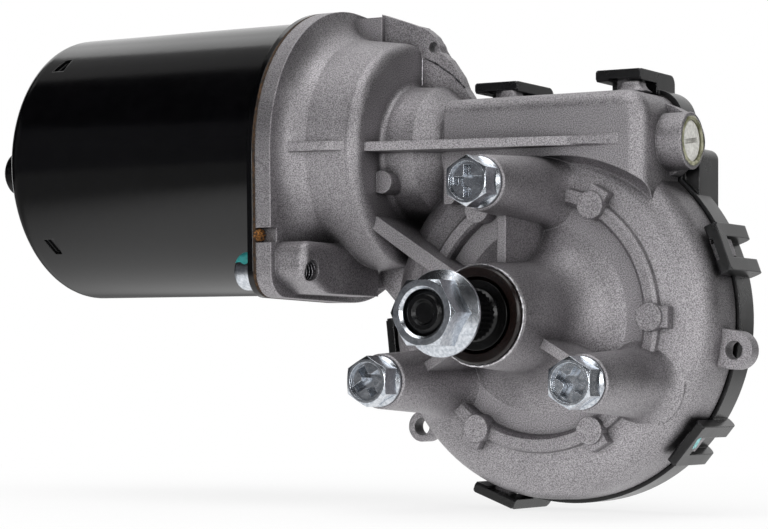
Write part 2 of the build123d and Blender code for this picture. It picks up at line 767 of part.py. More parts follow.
# ---- output: worm wheel and crank shaft -----------------------------------------------------
# Helical teeth: the outline turns with depth so that the teeth follow the worm's lead
WHEEL_FRONT_Y = WORM_Y - WHEEL_WIDTH / 2
WHEEL_REAR_Y = WORM_Y + WHEEL_WIDTH / 2
HALF_TWIST = degrees(LEAD_SLOPE * WHEEL_WIDTH / 2 / WHEEL_PITCH_R)
PLATE_R = 17.0
PLATE_Y = (34.5, 41.0)
with BuildPart() as worm_wheel:
    with BuildSketch(facing(WHEEL_REAR_Y)):
        with BuildLine():
            Polyline(*tooth_outline(-HALF_TWIST), close=True)
        make_face()
    with BuildSketch(facing(WHEEL_FRONT_Y)):
        with BuildLine():
            Polyline(*tooth_outline(HALF_TWIST), close=True)
        make_face()
    loft(ruled=True)
    with BuildSketch(facing(WHEEL_FRONT_Y)):
        Circle(WHEEL_PITCH_R - DEDENDUM - 3.0)
        Circle(PLATE_R + 2.5, mode=Mode.SUBTRACT)
    extrude(amount=-3.0, mode=Mode.SUBTRACT)
    with BuildSketch(facing(WHEEL_FRONT_Y - 1)):
        Circle(PLATE_R)
    extrude(amount=-(WHEEL_WIDTH + 2), mode=Mode.SUBTRACT)
worm_wheel.part.label = "worm_wheel"

# Steel plate that carries the wheel on the shaft; its rim is keyed into the moulding by 8 teeth
DRIVE_KEYS = 8
with BuildPart() as drive_plate:
    with BuildSketch(facing(PLATE_Y[0])):
        Circle(PLATE_R)
        Circle(OUTPUT_R, mode=Mode.SUBTRACT)
        with PolarLocations(11.5, DRIVE_KEYS):
            Circle(1.8, mode=Mode.SUBTRACT)
    extrude(amount=-(PLATE_Y[1] - PLATE_Y[0]))
    with BuildSketch(facing(WHEEL_FRONT_Y)):
        Circle(9.0)
        Circle(OUTPUT_R, mode=Mode.SUBTRACT)
    extrude(amount=-WHEEL_WIDTH)
drive_plate.part.label = "drive_plate"

# Contact disc of the park switch on the wheel's back: a full track and a broken track
DISC_Y = WHEEL_REAR_Y
DISC_T = 0.5
DISC_R = (20.5, 23.0, 29.0)
PARK_GAP = 40.0
with BuildPart() as park_disc:
    with BuildSketch(facing(DISC_Y)):
        Circle(DISC_R[2])
        Circle(DISC_R[0], mode=Mode.SUBTRACT)
        with BuildLine():
            inner = CenterArc((0, 0), DISC_R[1], -PARK_GAP / 2, PARK_GAP)
            outer = CenterArc((0, 0), DISC_R[2] + 1, -PARK_GAP / 2, PARK_GAP)
            Line(inner @ 0, outer @ 0)
            Line(inner @ 1, outer @ 1)
        make_face(mode=Mode.SUBTRACT)
    extrude(amount=-DISC_T)
park_disc.part.label = "park_disc"

# Output shaft, turned: thread, knurled crank seat, journal, ring groove at the back
SEAT_START_Y = -13.0
SEAT_END_Y = -3.0
SHAFT_BACK_Y = 45.6
RING_GROOVE_Y = (43.3, 44.4)
CENTRE_MARK_R = 2.8
with BuildPart() as output_shaft:
    with BuildSketch(Plane.XY):
        with BuildLine():
            Polyline(
                (0, THREAD_END_Y + 0.7),
                (CENTRE_MARK_R - 0.5, THREAD_END_Y + 0.7),
                (CENTRE_MARK_R, THREAD_END_Y),
                (THREAD_R - 1.2, THREAD_END_Y),
                (THREAD_R, THREAD_END_Y + 1.0),
                (THREAD_R, SEAT_START_Y),
                (OUTPUT_R - 0.7, SEAT_END_Y),
                (OUTPUT_R, SEAT_END_Y + 0.7),
                (OUTPUT_R, RING_GROOVE_Y[0]),
                (OUTPUT_R - 0.8, RING_GROOVE_Y[0]),
                (OUTPUT_R - 0.8, RING_GROOVE_Y[1]),
                (OUTPUT_R, RING_GROOVE_Y[1]),
                (OUTPUT_R, SHAFT_BACK_Y - 0.6),
                (OUTPUT_R - 0.6, SHAFT_BACK_Y),
                (0, SHAFT_BACK_Y),
                close=True,
            )
        make_face()
    revolve(axis=Axis.Y)
    # Serrations of the crank seat: a star outline lofted along the taper
    KNURLS = 30
    for y, root in ((SEAT_START_Y, THREAD_R), (SEAT_END_Y, OUTPUT_R - 0.7)):
        with BuildSketch(facing(y)):
            with BuildLine():
                Polyline(
                    *[
                        (
                            (root + 0.45 * (step % 2)) * cos(pi * step / KNURLS),
                            (root + 0.45 * (step % 2)) * sin(pi * step / KNURLS),
                        )
                        for step in range(2 * KNURLS)
                    ],
                    close=True,
                )
            make_face()
    loft(ruled=True)
output_shaft.part.label = "output_shaft"

# M10 flange nut: hexagon with turned corners on a dished flange
NUT_FLANGE_T = 1.2
with BuildPart() as crank_nut:
    with BuildSketch(facing(NUT_SEAT_Y)):
        RegularPolygon(NUT_AF / 2, 6, major_radius=False, rotation=0)
    extrude(amount=NUT_SEAT_Y - NUT_FRONT_Y)
    with BuildSketch(Plane.XY):
        with BuildLine():
            corner_r = NUT_AF / sqrt(3) + 1
            Polyline(
                (0, NUT_FRONT_Y - 1),
                (NUT_AF / 2 + 0.1, NUT_FRONT_Y - 1),
                (NUT_AF / 2 + 0.1, NUT_FRONT_Y),
                (corner_r + 0.3, NUT_FRONT_Y + 1.3),
                (corner_r + 0.3, NUT_SEAT_Y),
                (0, NUT_SEAT_Y),
                close=True,
            )
        make_face()
    revolve(axis=Axis.Y, mode=Mode.INTERSECT)
    with BuildSketch(Plane.XY):
        with BuildLine():
            Polyline(
                (0, NUT_SEAT_Y),
                (NUT_FLANGE_R - 0.5, NUT_SEAT_Y),
                (NUT_FLANGE_R, NUT_SEAT_Y - 0.5),
                (NUT_FLANGE_R, NUT_SEAT_Y - NUT_FLANGE_T),
                (NUT_AF / 2, NUT_SEAT_Y - 2.6),
                (0, NUT_SEAT_Y - 2.6),
                close=True,
            )
        make_face()
    revolve(axis=Axis.Y)
    with BuildSketch(Plane.XY):
        with BuildLine():
            Polyline(
                (0, NUT_FRONT_Y - 1),
                (THREAD_R + 1.6, NUT_FRONT_Y - 1),
                (THREAD_R + 0.05, NUT_FRONT_Y + 0.6),
                (THREAD_R + 0.05, NUT_SEAT_Y - 0.6),
                (THREAD_R + 0.7, NUT_SEAT_Y + 1),
                (0, NUT_SEAT_Y + 1),
                close=True,
            )
        make_face()
    revolve(axis=Axis.Y, mode=Mode.SUBTRACT)
crank_nut.part.label = "crank_nut"

# Washers and rings on the output shaft
RING_R = 7.8
with BuildPart() as front_ring:
    with BuildSketch(facing(-0.2)):
        Circle(RING_R)
        Circle(OUTPUT_R, mode=Mode.SUBTRACT)
    extrude(amount=1.2)
front_ring.part.label = "front_ring"

with BuildPart() as rear_ring:
    with BuildSketch(facing(RING_GROOVE_Y[1])):
        Circle(8.4)
        Circle(OUTPUT_R - 0.8, mode=Mode.SUBTRACT)
        with Locations((7, 0)):
            Rectangle(6, 3.2, mode=Mode.SUBTRACT)
    extrude(amount=RING_GROOVE_Y[1] - RING_GROOVE_Y[0])
rear_ring.part.label = "rear_ring"

with BuildPart() as thrust_washer:
    with BuildSketch(facing(WHEEL_FRONT_Y)):
        Circle(10.5)
        Circle(OUTPUT_R, mode=Mode.SUBTRACT)
    extrude(amount=WHEEL_FRONT_Y - CAVITY_FLOOR_Y - 0.15)
thrust_washer.part.label = "thrust_washer"

# ---- output bearings and seal ---------------------------------------------------------------
BUSH_Y = ((5.0, 15.0), (21.0, 31.0))
with BuildPart() as output_bushes:
    for front, back in BUSH_Y:
        with BuildSketch(facing(back)):
            Circle(BUSH_OD_R)
            Circle(OUTPUT_R + 0.03, mode=Mode.SUBTRACT)
        extrude(amount=back - front)
output_bushes.part.label = "output_bushes"

# Lip seal: outer band with a dirt lip over the hub's face, V groove and a lip on the shaft
SEAL_FRONT_Y = -1.4
SEAL_LIP_R = 10.9
with BuildPart() as shaft_seal:
    with BuildSketch(Plane.XY):
        with BuildLine():
            Polyline(
                (SEAL_OD_R, 0),
                (SEAL_OD_R, SEAL_DEPTH),
                (OUTPUT_R + 0.6, SEAL_DEPTH),
                (OUTPUT_R + 0.05, SEAL_DEPTH - 0.5),
                (OUTPUT_R + 0.05, SEAL_DEPTH - 1.0),
                (OUTPUT_R + 1.4, SEAL_DEPTH - 1.2),
                (8.3, 1.6),
                (8.6, SEAL_FRONT_Y),
                (SEAL_LIP_R - 0.4, SEAL_FRONT_Y),
                (SEAL_LIP_R, SEAL_FRONT_Y + 0.4),
                (SEAL_LIP_R, 0),
                close=True,
            )
        make_face()
    revolve(axis=Axis.Y)
shaft_seal.part.label = "shaft_seal"

# ---- mounting bolts -------------------------------------------------------------------------
# M6 flange bolts: dished flange, hexagon with turned corners, cross-and-square recess
BOLT_LENGTH = 16.0
BOLT_HEAD_H = 6.2
BOLT_FLANGE_R = 5.8
BOLT_CUP_R = 4.3
BOLT_CUP_DEPTH = 0.8
with BuildPart() as bolt:
    with BuildSketch(Plane.XY):
        RegularPolygon(BOLT_HEX_AF / 2, 6, major_radius=False)
    extrude(amount=BOLT_HEAD_H)
    with BuildSketch(Plane.XZ):
        with BuildLine():
            Polyline(
                (0, 0), (7, 0), (7, BOLT_HEAD_H - 0.9), (4.9, BOLT_HEAD_H), (0, BOLT_HEAD_H), close=True
            )
        make_face()
    revolve(axis=Axis.Z, mode=Mode.INTERSECT)
    with BuildSketch(Plane.XZ):
        with BuildLine():
            Polyline(
                (0, -BOLT_LENGTH),
                (BOLT_THREAD_R - 0.6, -BOLT_LENGTH),
                (BOLT_THREAD_R, -BOLT_LENGTH + 0.6),
                (BOLT_THREAD_R, 0),
                (BOLT_FLANGE_R - 0.3, 0),
                (BOLT_FLANGE_R, 0.4),
                (BOLT_FLANGE_R, 1.0),
                (BOLT_HEX_AF / 2 - 0.1, 1.7),
                (0, 1.7),
                close=True,
            )
        make_face()
    revolve(axis=Axis.Z)
    with BuildSketch(Plane.XY.offset(BOLT_HEAD_H)):
        Circle(BOLT_CUP_R)
    extrude(amount=-BOLT_CUP_DEPTH, mode=Mode.SUBTRACT)
    with BuildSketch(Plane.XY.offset(BOLT_HEAD_H - BOLT_CUP_DEPTH)):
        Rectangle(7.2, 1.9)
        Rectangle(1.9, 7.2)
        RegularPolygon(2.4, 4)
    extrude(amount=-2.2, mode=Mode.SUBTRACT)

with BuildPart(facing(0)) as mounting_bolts:
    with PolarLocations(BOSS_CIRCLE_R, 3, start_angle=BOSS_ANGLES[0]):
        add(bolt.part)
mounting_bolts.part.label = "mounting_bolts"

# ---- thrust screw at the worm's end ---------------------------------------------------------
with BuildPart() as thrust_pad:
    with BuildSketch(across(SHAFT_END_X + 0.05)):
        Circle(THRUST_R - 0.2)
    extrude(amount=1.95)
thrust_pad.part.label = "thrust_pad"

with BuildPart() as thrust_screw:
    with BuildSketch(across(SHAFT_END_X + 2.0)):
        Circle(THRUST_R)
    extrude(amount=END_BOSS_X - 0.4 - SHAFT_END_X - 2.0)
    chamfer(thrust_screw.edges().group_by(Axis.X)[-1], 0.3)
    with BuildSketch(across(END_BOSS_X - 0.4)):
        with Locations(Location((0, 0, 0), (0, 0, 8))):
            Rectangle(6.6, 1.1)
    extrude(amount=-1.4, mode=Mode.SUBTRACT)
thrust_screw.part.label = "thrust_screw"

with BuildPart() as thrust_lock_ring:
    with BuildSketch(across(END_BOSS_X - 0.8)):
        Circle(LOCK_RING_R)
        Circle(THRUST_R, mode=Mode.SUBTRACT)
    extrude(amount=0.5)
thrust_lock_ring.part.label = "thrust_lock_ring"

# Front shaft bushes
with BuildPart() as neck_bush:
    with BuildSketch(across(NECK_BUSH_X[0])):
        Circle(NECK_BUSH_R)
        Circle(SHAFT_R + 0.03, mode=Mode.SUBTRACT)
    extrude(amount=NECK_BUSH_X[1] - NECK_BUSH_X[0])
neck_bush.part.label = "neck_bush"

with BuildPart() as nose_bush:
    with BuildSketch(across(NOSE_BUSH_X[0])):
        Circle(NOSE_BUSH_R)
        Circle(JOURNAL_R + 0.03, mode=Mode.SUBTRACT)
    extrude(amount=NOSE_BUSH_X[1] - NOSE_BUSH_X[0])
nose_bush.part.label = "nose_bush"

# ---- wound armature -------------------------------------------------------------------------
SLOT_OUTER_R = CORE_R - 1.6
SLOT_INNER_R = 10.5
SLOT_MOUTH = 2.2


def slot_wedge(inner_r, outer_r, inner_w, outer_w):
    """Corner points of one winding slot, opening upwards."""
    return [
        (-inner_w / 2, inner_r),
        (inner_w / 2, inner_r),
        (outer_w / 2, outer_r),
        (-outer_w / 2, outer_r),
    ]


with BuildPart() as armature_core:
    with BuildSketch(across(CORE_START_X)):
        Circle(CORE_R)
        Circle(SHAFT_R, mode=Mode.SUBTRACT)
        with PolarLocations(0, SLOTS):
            Polygon(*slot_wedge(SLOT_INNER_R, SLOT_OUTER_R, 2.4, 6.8), align=None, mode=Mode.SUBTRACT)
            with Locations((0, CORE_R - 1)):
                Rectangle(SLOT_MOUTH, 4, mode=Mode.SUBTRACT)
    extrude(amount=CORE_END_X - CORE_START_X)
armature_core.part.label = "armature_core"

# Copper: bars through the slots, and a domed bundle of end turns on each face of the core
END_TURN_L = 8.0
with BuildPart() as armature_windings:
    with BuildSketch(across(CORE_START_X - 1)):
        with PolarLocations(0, SLOTS):
            Polygon(*slot_wedge(SLOT_INNER_R + 0.1, SLOT_OUTER_R - 0.1, 2.1, 6.5), align=None)
    extrude(amount=CORE_END_X - CORE_START_X + 2)
    for face_x, outward in ((CORE_START_X, -1), (CORE_END_X, 1)):
        with BuildSketch(along_worm()):
            with BuildLine():
                tip_x = face_x + outward * END_TURN_L
                Polyline(
                    (face_x + outward * 0.6, SHAFT_R + 2.6),
                    (tip_x - outward * 1.0, SHAFT_R + 2.6),
                    (tip_x, SHAFT_R + 4.5),
                    (tip_x - outward * 0.8, 15.0),
                    (tip_x - outward * 3.8, 19.4),
                    (face_x + outward * 0.6, 20.4),
                    close=True,
                )
            make_face()
        revolve(axis=WORM_AXIS)
armature_windings.part.label = "armature_windings"

# Commutator: copper bars round a moulded hub
BAR_INNER_R = 7.6
BAR_GAP = 0.5
with BuildPart() as commutator_bars:
    with BuildSketch(across(COMMUTATOR_START_X)):
        Circle(COMMUTATOR_R)
        Circle(BAR_INNER_R, mode=Mode.SUBTRACT)
        with PolarLocations(0, SLOTS):
            with Locations((0, COMMUTATOR_R)):
                Rectangle(BAR_GAP, 8, mode=Mode.SUBTRACT)
    extrude(amount=COMMUTATOR_END_X - COMMUTATOR_START_X)
    # Hooks at the winding end, one on each bar
    with BuildSketch(across(COMMUTATOR_START_X)):
        with PolarLocations(0, SLOTS, start_angle=180 / SLOTS):
            with Locations((0, COMMUTATOR_R + 0.5)):
                Rectangle(1.6, 1.8)
    extrude(amount=1.8)
commutator_bars.part.label = "commutator_bars"

with BuildPart() as commutator_hub:
    with BuildSketch(across(COMMUTATOR_START_X - 2)):
        Circle(BAR_INNER_R)
        Circle(SHAFT_R, mode=Mode.SUBTRACT)
    extrude(amount=COMMUTATOR_END_X - COMMUTATOR_START_X + 3)
commutator_hub.part.label = "commutator_hub"

# Insulating end discs of the armature, slotted like the core
INSULATOR_T = 0.6
with BuildPart() as armature_insulators:
    for start_x in (CORE_START_X - INSULATOR_T, CORE_END_X):
        with BuildSketch(across(start_x)):
            Circle(CORE_R - 0.3)
            Circle(SHAFT_R, mode=Mode.SUBTRACT)
            with PolarLocations(0, SLOTS):
                Polygon(*slot_wedge(SLOT_INNER_R, SLOT_OUTER_R, 2.4, 6.8), align=None, mode=Mode.SUBTRACT)
                with Locations((0, CORE_R - 1)):
                    Rectangle(SLOT_MOUTH, 4, mode=Mode.SUBTRACT)
        extrude(amount=INSULATOR_T)
armature_insulators.part.label = "armature_insulators"

# ---- brush gear -----------------------------------------------------------------------------
# Three brushes: common, low speed and high speed
BRUSH_ANGLES = (0, 180, 240)
BRUSH_X = (-67.5, -61.5)
BRUSH_W = 5.0
BRUSH_END_R = 19.0
HOLDER_R = (12.4, 22.6)
HOLDER_WALL = 0.6
CARD_X = (-60.5, -58.0)
CARD_R = CHAMBER_R - 0.05
CARD_HOLE_R = 12.6
BRUSH_MID_X = (BRUSH_X[0] + BRUSH_X[1]) / 2

with BuildPart() as brush_card:
    with BuildSketch(across(CARD_X[0])):
        Circle(CARD_R)
        Circle(CARD_HOLE_R, mode=Mode.SUBTRACT)
    extrude(amount=CARD_X[1] - CARD_X[0])
    # Ring that stiffens the hole on the gear side
    with BuildSketch(across(CARD_X[1])):
        Circle(CARD_HOLE_R + 1.2)
        Circle(CARD_HOLE_R, mode=Mode.SUBTRACT)
    extrude(amount=1.5)
brush_card.part.label = "brush_card"


def brush_plane(angle):
    """Sketch plane on the worm axis: local x runs along X, normal out along the brush."""
    outward = (0, cos(radians(angle)), sin(radians(angle)))
    return Plane(origin=(BRUSH_MID_X, WORM_Y, WORM_Z), x_dir=(1, 0, 0), z_dir=outward)


# Carbon, hollowed at the inner end to the commutator's radius
with BuildPart() as brushes:
    for angle in BRUSH_ANGLES:
        with BuildSketch(brush_plane(angle)):
            Rectangle(BRUSH_X[1] - BRUSH_X[0], BRUSH_W)
        extrude(amount=BRUSH_END_R)
    with BuildSketch(across(BRUSH_X[0] - 1)):
        Circle(COMMUTATOR_R + 0.05)
    extrude(amount=BRUSH_X[1] - BRUSH_X[0] + 2, mode=Mode.SUBTRACT)
brushes.part.label = "brushes"

# Folded brass boxes that guide the brushes, closed at the outer end
with BuildPart() as brush_holders:
    for angle in BRUSH_ANGLES:
        with BuildSketch(brush_plane(angle).offset(HOLDER_R[0])):
            Rectangle(2 * (CARD_X[0] - BRUSH_MID_X), BRUSH_W + 2 * HOLDER_WALL)
        extrude(amount=HOLDER_R[1] - HOLDER_R[0])
        with BuildSketch(brush_plane(angle).offset(HOLDER_R[0])):
            Rectangle(BRUSH_X[1] - BRUSH_X[0] + 0.1, BRUSH_W + 0.1)
        extrude(amount=HOLDER_R[1] - HOLDER_R[0] - HOLDER_WALL, mode=Mode.SUBTRACT)
brush_holders.part.label = "brush_holders"

# Compression springs behind the brushes
SPRING_R = 1.7
SPRING_WIRE = 0.5
SPRING_L = HOLDER_R[1] - HOLDER_WALL - BRUSH_END_R - SPRING_WIRE - 0.1
with BuildPart() as brush_spring:
    with BuildLine():
        coil = Helix(pitch=SPRING_L / 3, height=SPRING_L, radius=SPRING_R)
    with BuildSketch(Plane(origin=coil @ 0, x_dir=(1, 0, 0), z_dir=coil % 0)):
        Rectangle(SPRING_WIRE, SPRING_WIRE)
    sweep(path=coil, is_frenet=True)

with BuildPart() as brush_springs:
    for angle in BRUSH_ANGLES:
        with Locations(brush_plane(angle).offset(BRUSH_END_R + SPRING_WIRE / 2 + 0.05).location):
            add(brush_spring.part)
brush_springs.part.label = "brush_springs"

# Two chokes wound on ferrite rods, and the suppression capacitor, on the gear side of the card
CHOKE_PLACES = ((15.5, 11.5), (-15.5, 11.5))
CHOKE_R = 3.6
CHOKE_CORE_R = 2.2
CHOKE_X = (-56.5, -47.5)
with BuildPart() as choke_cores:
    with BuildSketch(across(CARD_X[1])):
        with Locations(*CHOKE_PLACES):
            Circle(CHOKE_CORE_R)
    extrude(amount=CHOKE_X[1] - CARD_X[1] + 1.5)
choke_cores.part.label = "choke_cores"

with BuildPart() as choke_coils:
    with BuildSketch(across(CHOKE_X[0])):
        with Locations(*CHOKE_PLACES):
            Circle(CHOKE_R)
            Circle(CHOKE_CORE_R, mode=Mode.SUBTRACT)
    extrude(amount=CHOKE_X[1] - CHOKE_X[0])
choke_coils.part.label = "choke_coils"

with BuildPart() as suppression_capacitor:
    with BuildSketch(across(CARD_X[1])):
        with Locations((0, -18)):
            RectangleRounded(12, 6, 1.5)
    extrude(amount=9)
suppression_capacitor.part.label = "suppression_capacitor"

# ---- rear cover -----------------------------------------------------------------------------
CAP_LEFT_X = -24.6
CAP_RIGHT_X = 28.7
CAP_TOP_Z = 53.5
CAP_CORNER_R = 7.0
CAP_LOW_Z = 20.0
COVER_EDGE = 1.0
CAP_STEPS = ((-38.9, 6.7), (-25.0, 23.8))


def cover_outline(inset):
    """The cover's plan: a disc behind the gear bowl joined to the cap behind the worm."""
    with BuildSketch(Plane.XY, mode=Mode.PRIVATE) as outline:
        with BuildLine():
            Polyline(
                (CAP_LEFT_X + inset, CAP_LOW_Z),
                (CAP_LEFT_X + inset, CAP_TOP_Z - inset),
                (CAP_RIGHT_X - CAP_CORNER_R, CAP_TOP_Z - inset),
            )
            RadiusArc(
                (CAP_RIGHT_X - CAP_CORNER_R, CAP_TOP_Z - inset),
                (CAP_RIGHT_X - inset, CAP_TOP_Z - CAP_CORNER_R),
                CAP_CORNER_R - inset,
            )
            Polyline(
                (CAP_RIGHT_X - inset, CAP_TOP_Z - CAP_CORNER_R),
                (CAP_RIGHT_X - inset, CAP_LOW_Z),
                (CAP_LEFT_X + inset, CAP_LOW_Z),
            )
        make_face()
        Circle(COVER_R - inset)
        # Clear of the motor end of the casting
        with BuildLine():
            Polyline(
                (-60, CAP_STEPS[0][1] - inset),
                (CAP_STEPS[0][0] + inset, CAP_STEPS[0][1] - inset),
                (CAP_STEPS[0][0] + inset, CAP_STEPS[1][1] - 6 - inset),
                (CAP_STEPS[0][0] + 5 + inset, CAP_STEPS[1][1] - inset),
                (CAP_LEFT_X + inset, CAP_STEPS[1][1] - inset),
                (CAP_LEFT_X + inset, 60),
                (-60, 60),
                close=True,
            )
        make_face(mode=Mode.SUBTRACT)
    return outline.sketch


# A snap loop: two arms back to the cover's rim, with a crossbar between their front ends
LOOP_W = 11.5
LOOP_ARM_W = 3.2
LOOP_FRONT_Y = 34.5
LOOP_ROOT_Y = 43.2
LOOP_BAR_W = 3.5
LOOP_BAR_T = 2.0
LOOP_END_R = 2.2

# Connector shroud, opening to the rear
SOCKET_X = (12.2, 32.3)
SOCKET_Z = (20.0, 40.0)
SOCKET_Y = (46.0, 56.5)
SOCKET_WALL = 1.6
SOCKET_MID = ((SOCKET_X[0] + SOCKET_X[1]) / 2, (SOCKET_Z[0] + SOCKET_Z[1]) / 2)
SOCKET_SIZE = (SOCKET_X[1] - SOCKET_X[0], SOCKET_Z[1] - SOCKET_Z[0])
LEAD_Y = (48.3, 49.1)
PIN_T = 0.8
PIN_W = 1.5
PIN_TAIL_X = SOCKET_X[0] - PIN_T
PIN_TAIL_Y = 44.8
PIN_TIP_Y = 54.0
# Each pin: where it stands along X, and its height
PINS = ((18.6, 34.5), (25.6, 32.1), (18.6, 29.75), (25.6, 27.4), (18.6, 25.0))

with BuildPart() as rear_cover:
    with BuildSketch(facing(COVER_BACK_Y - COVER_EDGE)):
        add(cover_outline(0))
    extrude(amount=COVER_BACK_Y - COVER_EDGE - COVER_FRONT_Y)
    with BuildSketch(facing(COVER_BACK_Y - COVER_EDGE)):
        add(cover_outline(0))
    with BuildSketch(facing(COVER_BACK_Y)):
        add(cover_outline(COVER_EDGE))
    loft(ruled=True)
    with BuildSketch(facing(COVER_BACK_Y - COVER_WALL)):
        add(cover_outline(COVER_WALL))
    extrude(amount=COVER_BACK_Y - COVER_WALL - COVER_FRONT_Y, mode=Mode.SUBTRACT)
    # Way in for the brush leads
    with BuildSketch(across(CAP_LEFT_X - 1)):
        with Locations((10.7, 0)):
            Rectangle(3.8, 10)
    extrude(amount=COVER_WALL + 2, mode=Mode.SUBTRACT)
    # Snap loops round the bowl and on top of the cap
    for x, angle, foot, inner, outer in LOOPS:
        upright = Plane(Location((x, 0, 0), (0, -angle, 0)))
        for side in (1, -1):
            with BuildSketch(upright.offset(side * (LOOP_W - LOOP_ARM_W) / 2)):
                with BuildLine():
                    arm_face = Polyline(
                        (inner, LOOP_FRONT_Y + 0.6),
                        (inner + 0.6, LOOP_FRONT_Y),
                        (outer - 0.5, LOOP_FRONT_Y),
                        (outer, LOOP_FRONT_Y + 0.5),
                        (outer, COVER_BACK_Y - LOOP_END_R),
                    )
                    RadiusArc(arm_face @ 1, (outer - LOOP_END_R, COVER_BACK_Y), -LOOP_END_R)
                    Polyline(
                        (outer - LOOP_END_R, COVER_BACK_Y),
                        (foot, COVER_BACK_Y),
                        (foot, LOOP_ROOT_Y),
                        (inner, LOOP_ROOT_Y),
                        (inner, LOOP_FRONT_Y + 0.6),
                    )
                make_face()
            extrude(amount=LOOP_ARM_W / 2, both=True)
        with BuildSketch(upright):
            with Locations((outer - LOOP_BAR_T / 2, LOOP_FRONT_Y + LOOP_BAR_W / 2)):
                Rectangle(LOOP_BAR_T, LOOP_BAR_W)
        extrude(amount=LOOP_W / 2 - 0.5, both=True)
    with BuildSketch(facing(SOCKET_Y[1])):
        with Locations(SOCKET_MID):
            RectangleRounded(*SOCKET_SIZE, 2.5)
    extrude(amount=SOCKET_Y[1] - SOCKET_Y[0])
    with BuildSketch(facing(SOCKET_Y[1])):
        with Locations(SOCKET_MID):
            RectangleRounded(SOCKET_SIZE[0] - 2 * SOCKET_WALL, SOCKET_SIZE[1] - 2 * SOCKET_WALL, 1.0)
    extrude(amount=SOCKET_Y[1] - SOCKET_Y[0] - SOCKET_WALL, mode=Mode.SUBTRACT)
    with BuildSketch(facing(SOCKET_Y[0] + 3)):
        with Locations(*PINS):
            Rectangle(PIN_T, PIN_W)
    extrude(amount=4, mode=Mode.SUBTRACT)
rear_cover.part.label = "rear_cover"

# Flat rubber gasket under the cover's rim, inside the snap loops
GASKET_INSET = 1.2
GASKET_W = 1.4
with BuildPart() as cover_gasket:
    with BuildSketch(facing(COVER_FRONT_Y)):
        add(cover_outline(GASKET_INSET))
        add(cover_outline(GASKET_INSET + GASKET_W), mode=Mode.SUBTRACT)
    extrude(amount=COVER_FRONT_Y - REAR_Y)
cover_gasket.part.label = "cover_gasket"

# Blade pins: a tail up the outside of the shroud, a run under its floor, a blade inside it
with BuildPart() as connector_pins:
    for x, z in PINS:
        with BuildSketch(Plane.XY.offset(z - PIN_W / 2)):
            with BuildLine():
                Polyline(
                    (PIN_TAIL_X, LEAD_Y[1]),
                    (PIN_TAIL_X, PIN_TAIL_Y),
                    (x + PIN_T / 2, PIN_TAIL_Y),
                    (x + PIN_T / 2, PIN_TIP_Y),
                    (x - PIN_T / 2, PIN_TIP_Y),
                    (x - PIN_T / 2, PIN_TAIL_Y + PIN_T),
                    (PIN_TAIL_X + PIN_T, PIN_TAIL_Y + PIN_T),
                    (PIN_TAIL_X + PIN_T, LEAD_Y[1]),
                    close=True,
                )
            make_face()
        extrude(amount=PIN_W)
connector_pins.part.label = "connector_pins"

# Strips from the brush card to the pins: along the worm, down, then across to a pin's tail
LEAD_W = 1.6
LEAD_ROUTES = ((37.5, 5.0, 29.75), (40.5, 7.5, 32.1), (43.5, 10.0, 34.5))
LEAD_CARD_Y = 52.0
LEAD_T = LEAD_Y[1] - LEAD_Y[0]
with BuildPart() as brush_leads:
    for from_z, turn_x, to_z in LEAD_ROUTES:
        with BuildSketch(Plane.XY.offset(from_z - LEAD_W / 2)):
            with BuildLine():
                Polyline(
                    (CARD_X[1], LEAD_CARD_Y + LEAD_T),
                    (-49.5, LEAD_CARD_Y + LEAD_T),
                    (-46.5, LEAD_Y[1]),
                    (turn_x + LEAD_W / 2, LEAD_Y[1]),
                    (turn_x + LEAD_W / 2, LEAD_Y[0]),
                    (-47.0, LEAD_Y[0]),
                    (-50.0, LEAD_CARD_Y),
                    (CARD_X[1], LEAD_CARD_Y),
                    close=True,
                )
            make_face()
        extrude(amount=LEAD_W)
        with BuildSketch(facing(LEAD_Y[1])):
            with Locations((turn_x, (from_z + to_z) / 2)):
                Rectangle(LEAD_W, from_z - to_z + LEAD_W)
            with Locations(((turn_x + PIN_TAIL_X) / 2, to_z)):
                Rectangle(PIN_TAIL_X - turn_x, LEAD_W)
        extrude(amount=LEAD_T)
brush_leads.part.label = "brush_leads"

# Park-switch fingers: a sprung tip on each track, a strip up to a pin's tail
FINGERS = ((-21.7, 7.2, 27.4), (-26.0, 10.0, 25.0))
FINGER_TIP_Y = DISC_Y + DISC_T + 0.1
FINGER_T = 0.4
with BuildPart() as contact_fingers:
    for tip_z, rise_x, to_z in FINGERS:
        with BuildSketch(Plane.XY.offset(tip_z - LEAD_W / 2)):
            with BuildLine():
                Polyline(
                    (rise_x, LEAD_Y[1]),
                    (rise_x - 2, LEAD_Y[1]),
                    (rise_x - 10, FINGER_TIP_Y + FINGER_T + 0.3),
                    (rise_x - 12, FINGER_TIP_Y + FINGER_T + 1.2),
                    (rise_x - 12, FINGER_TIP_Y + 1.2),
                    (rise_x - 10, FINGER_TIP_Y),
                    (rise_x - 2, LEAD_Y[0]),
                    (rise_x, LEAD_Y[0]),
                    close=True,
                )
            make_face()
        extrude(amount=LEAD_W)
        with BuildSketch(facing(LEAD_Y[1])):
            with Locations((rise_x, (tip_z + to_z) / 2)):
                Rectangle(LEAD_W, to_z - tip_z + LEAD_W)
            with Locations(((rise_x + PIN_TAIL_X) / 2, to_z)):
                Rectangle(PIN_TAIL_X - rise_x, LEAD_W)
        extrude(amount=LEAD_T)
contact_fingers.part.label = "contact_fingers"

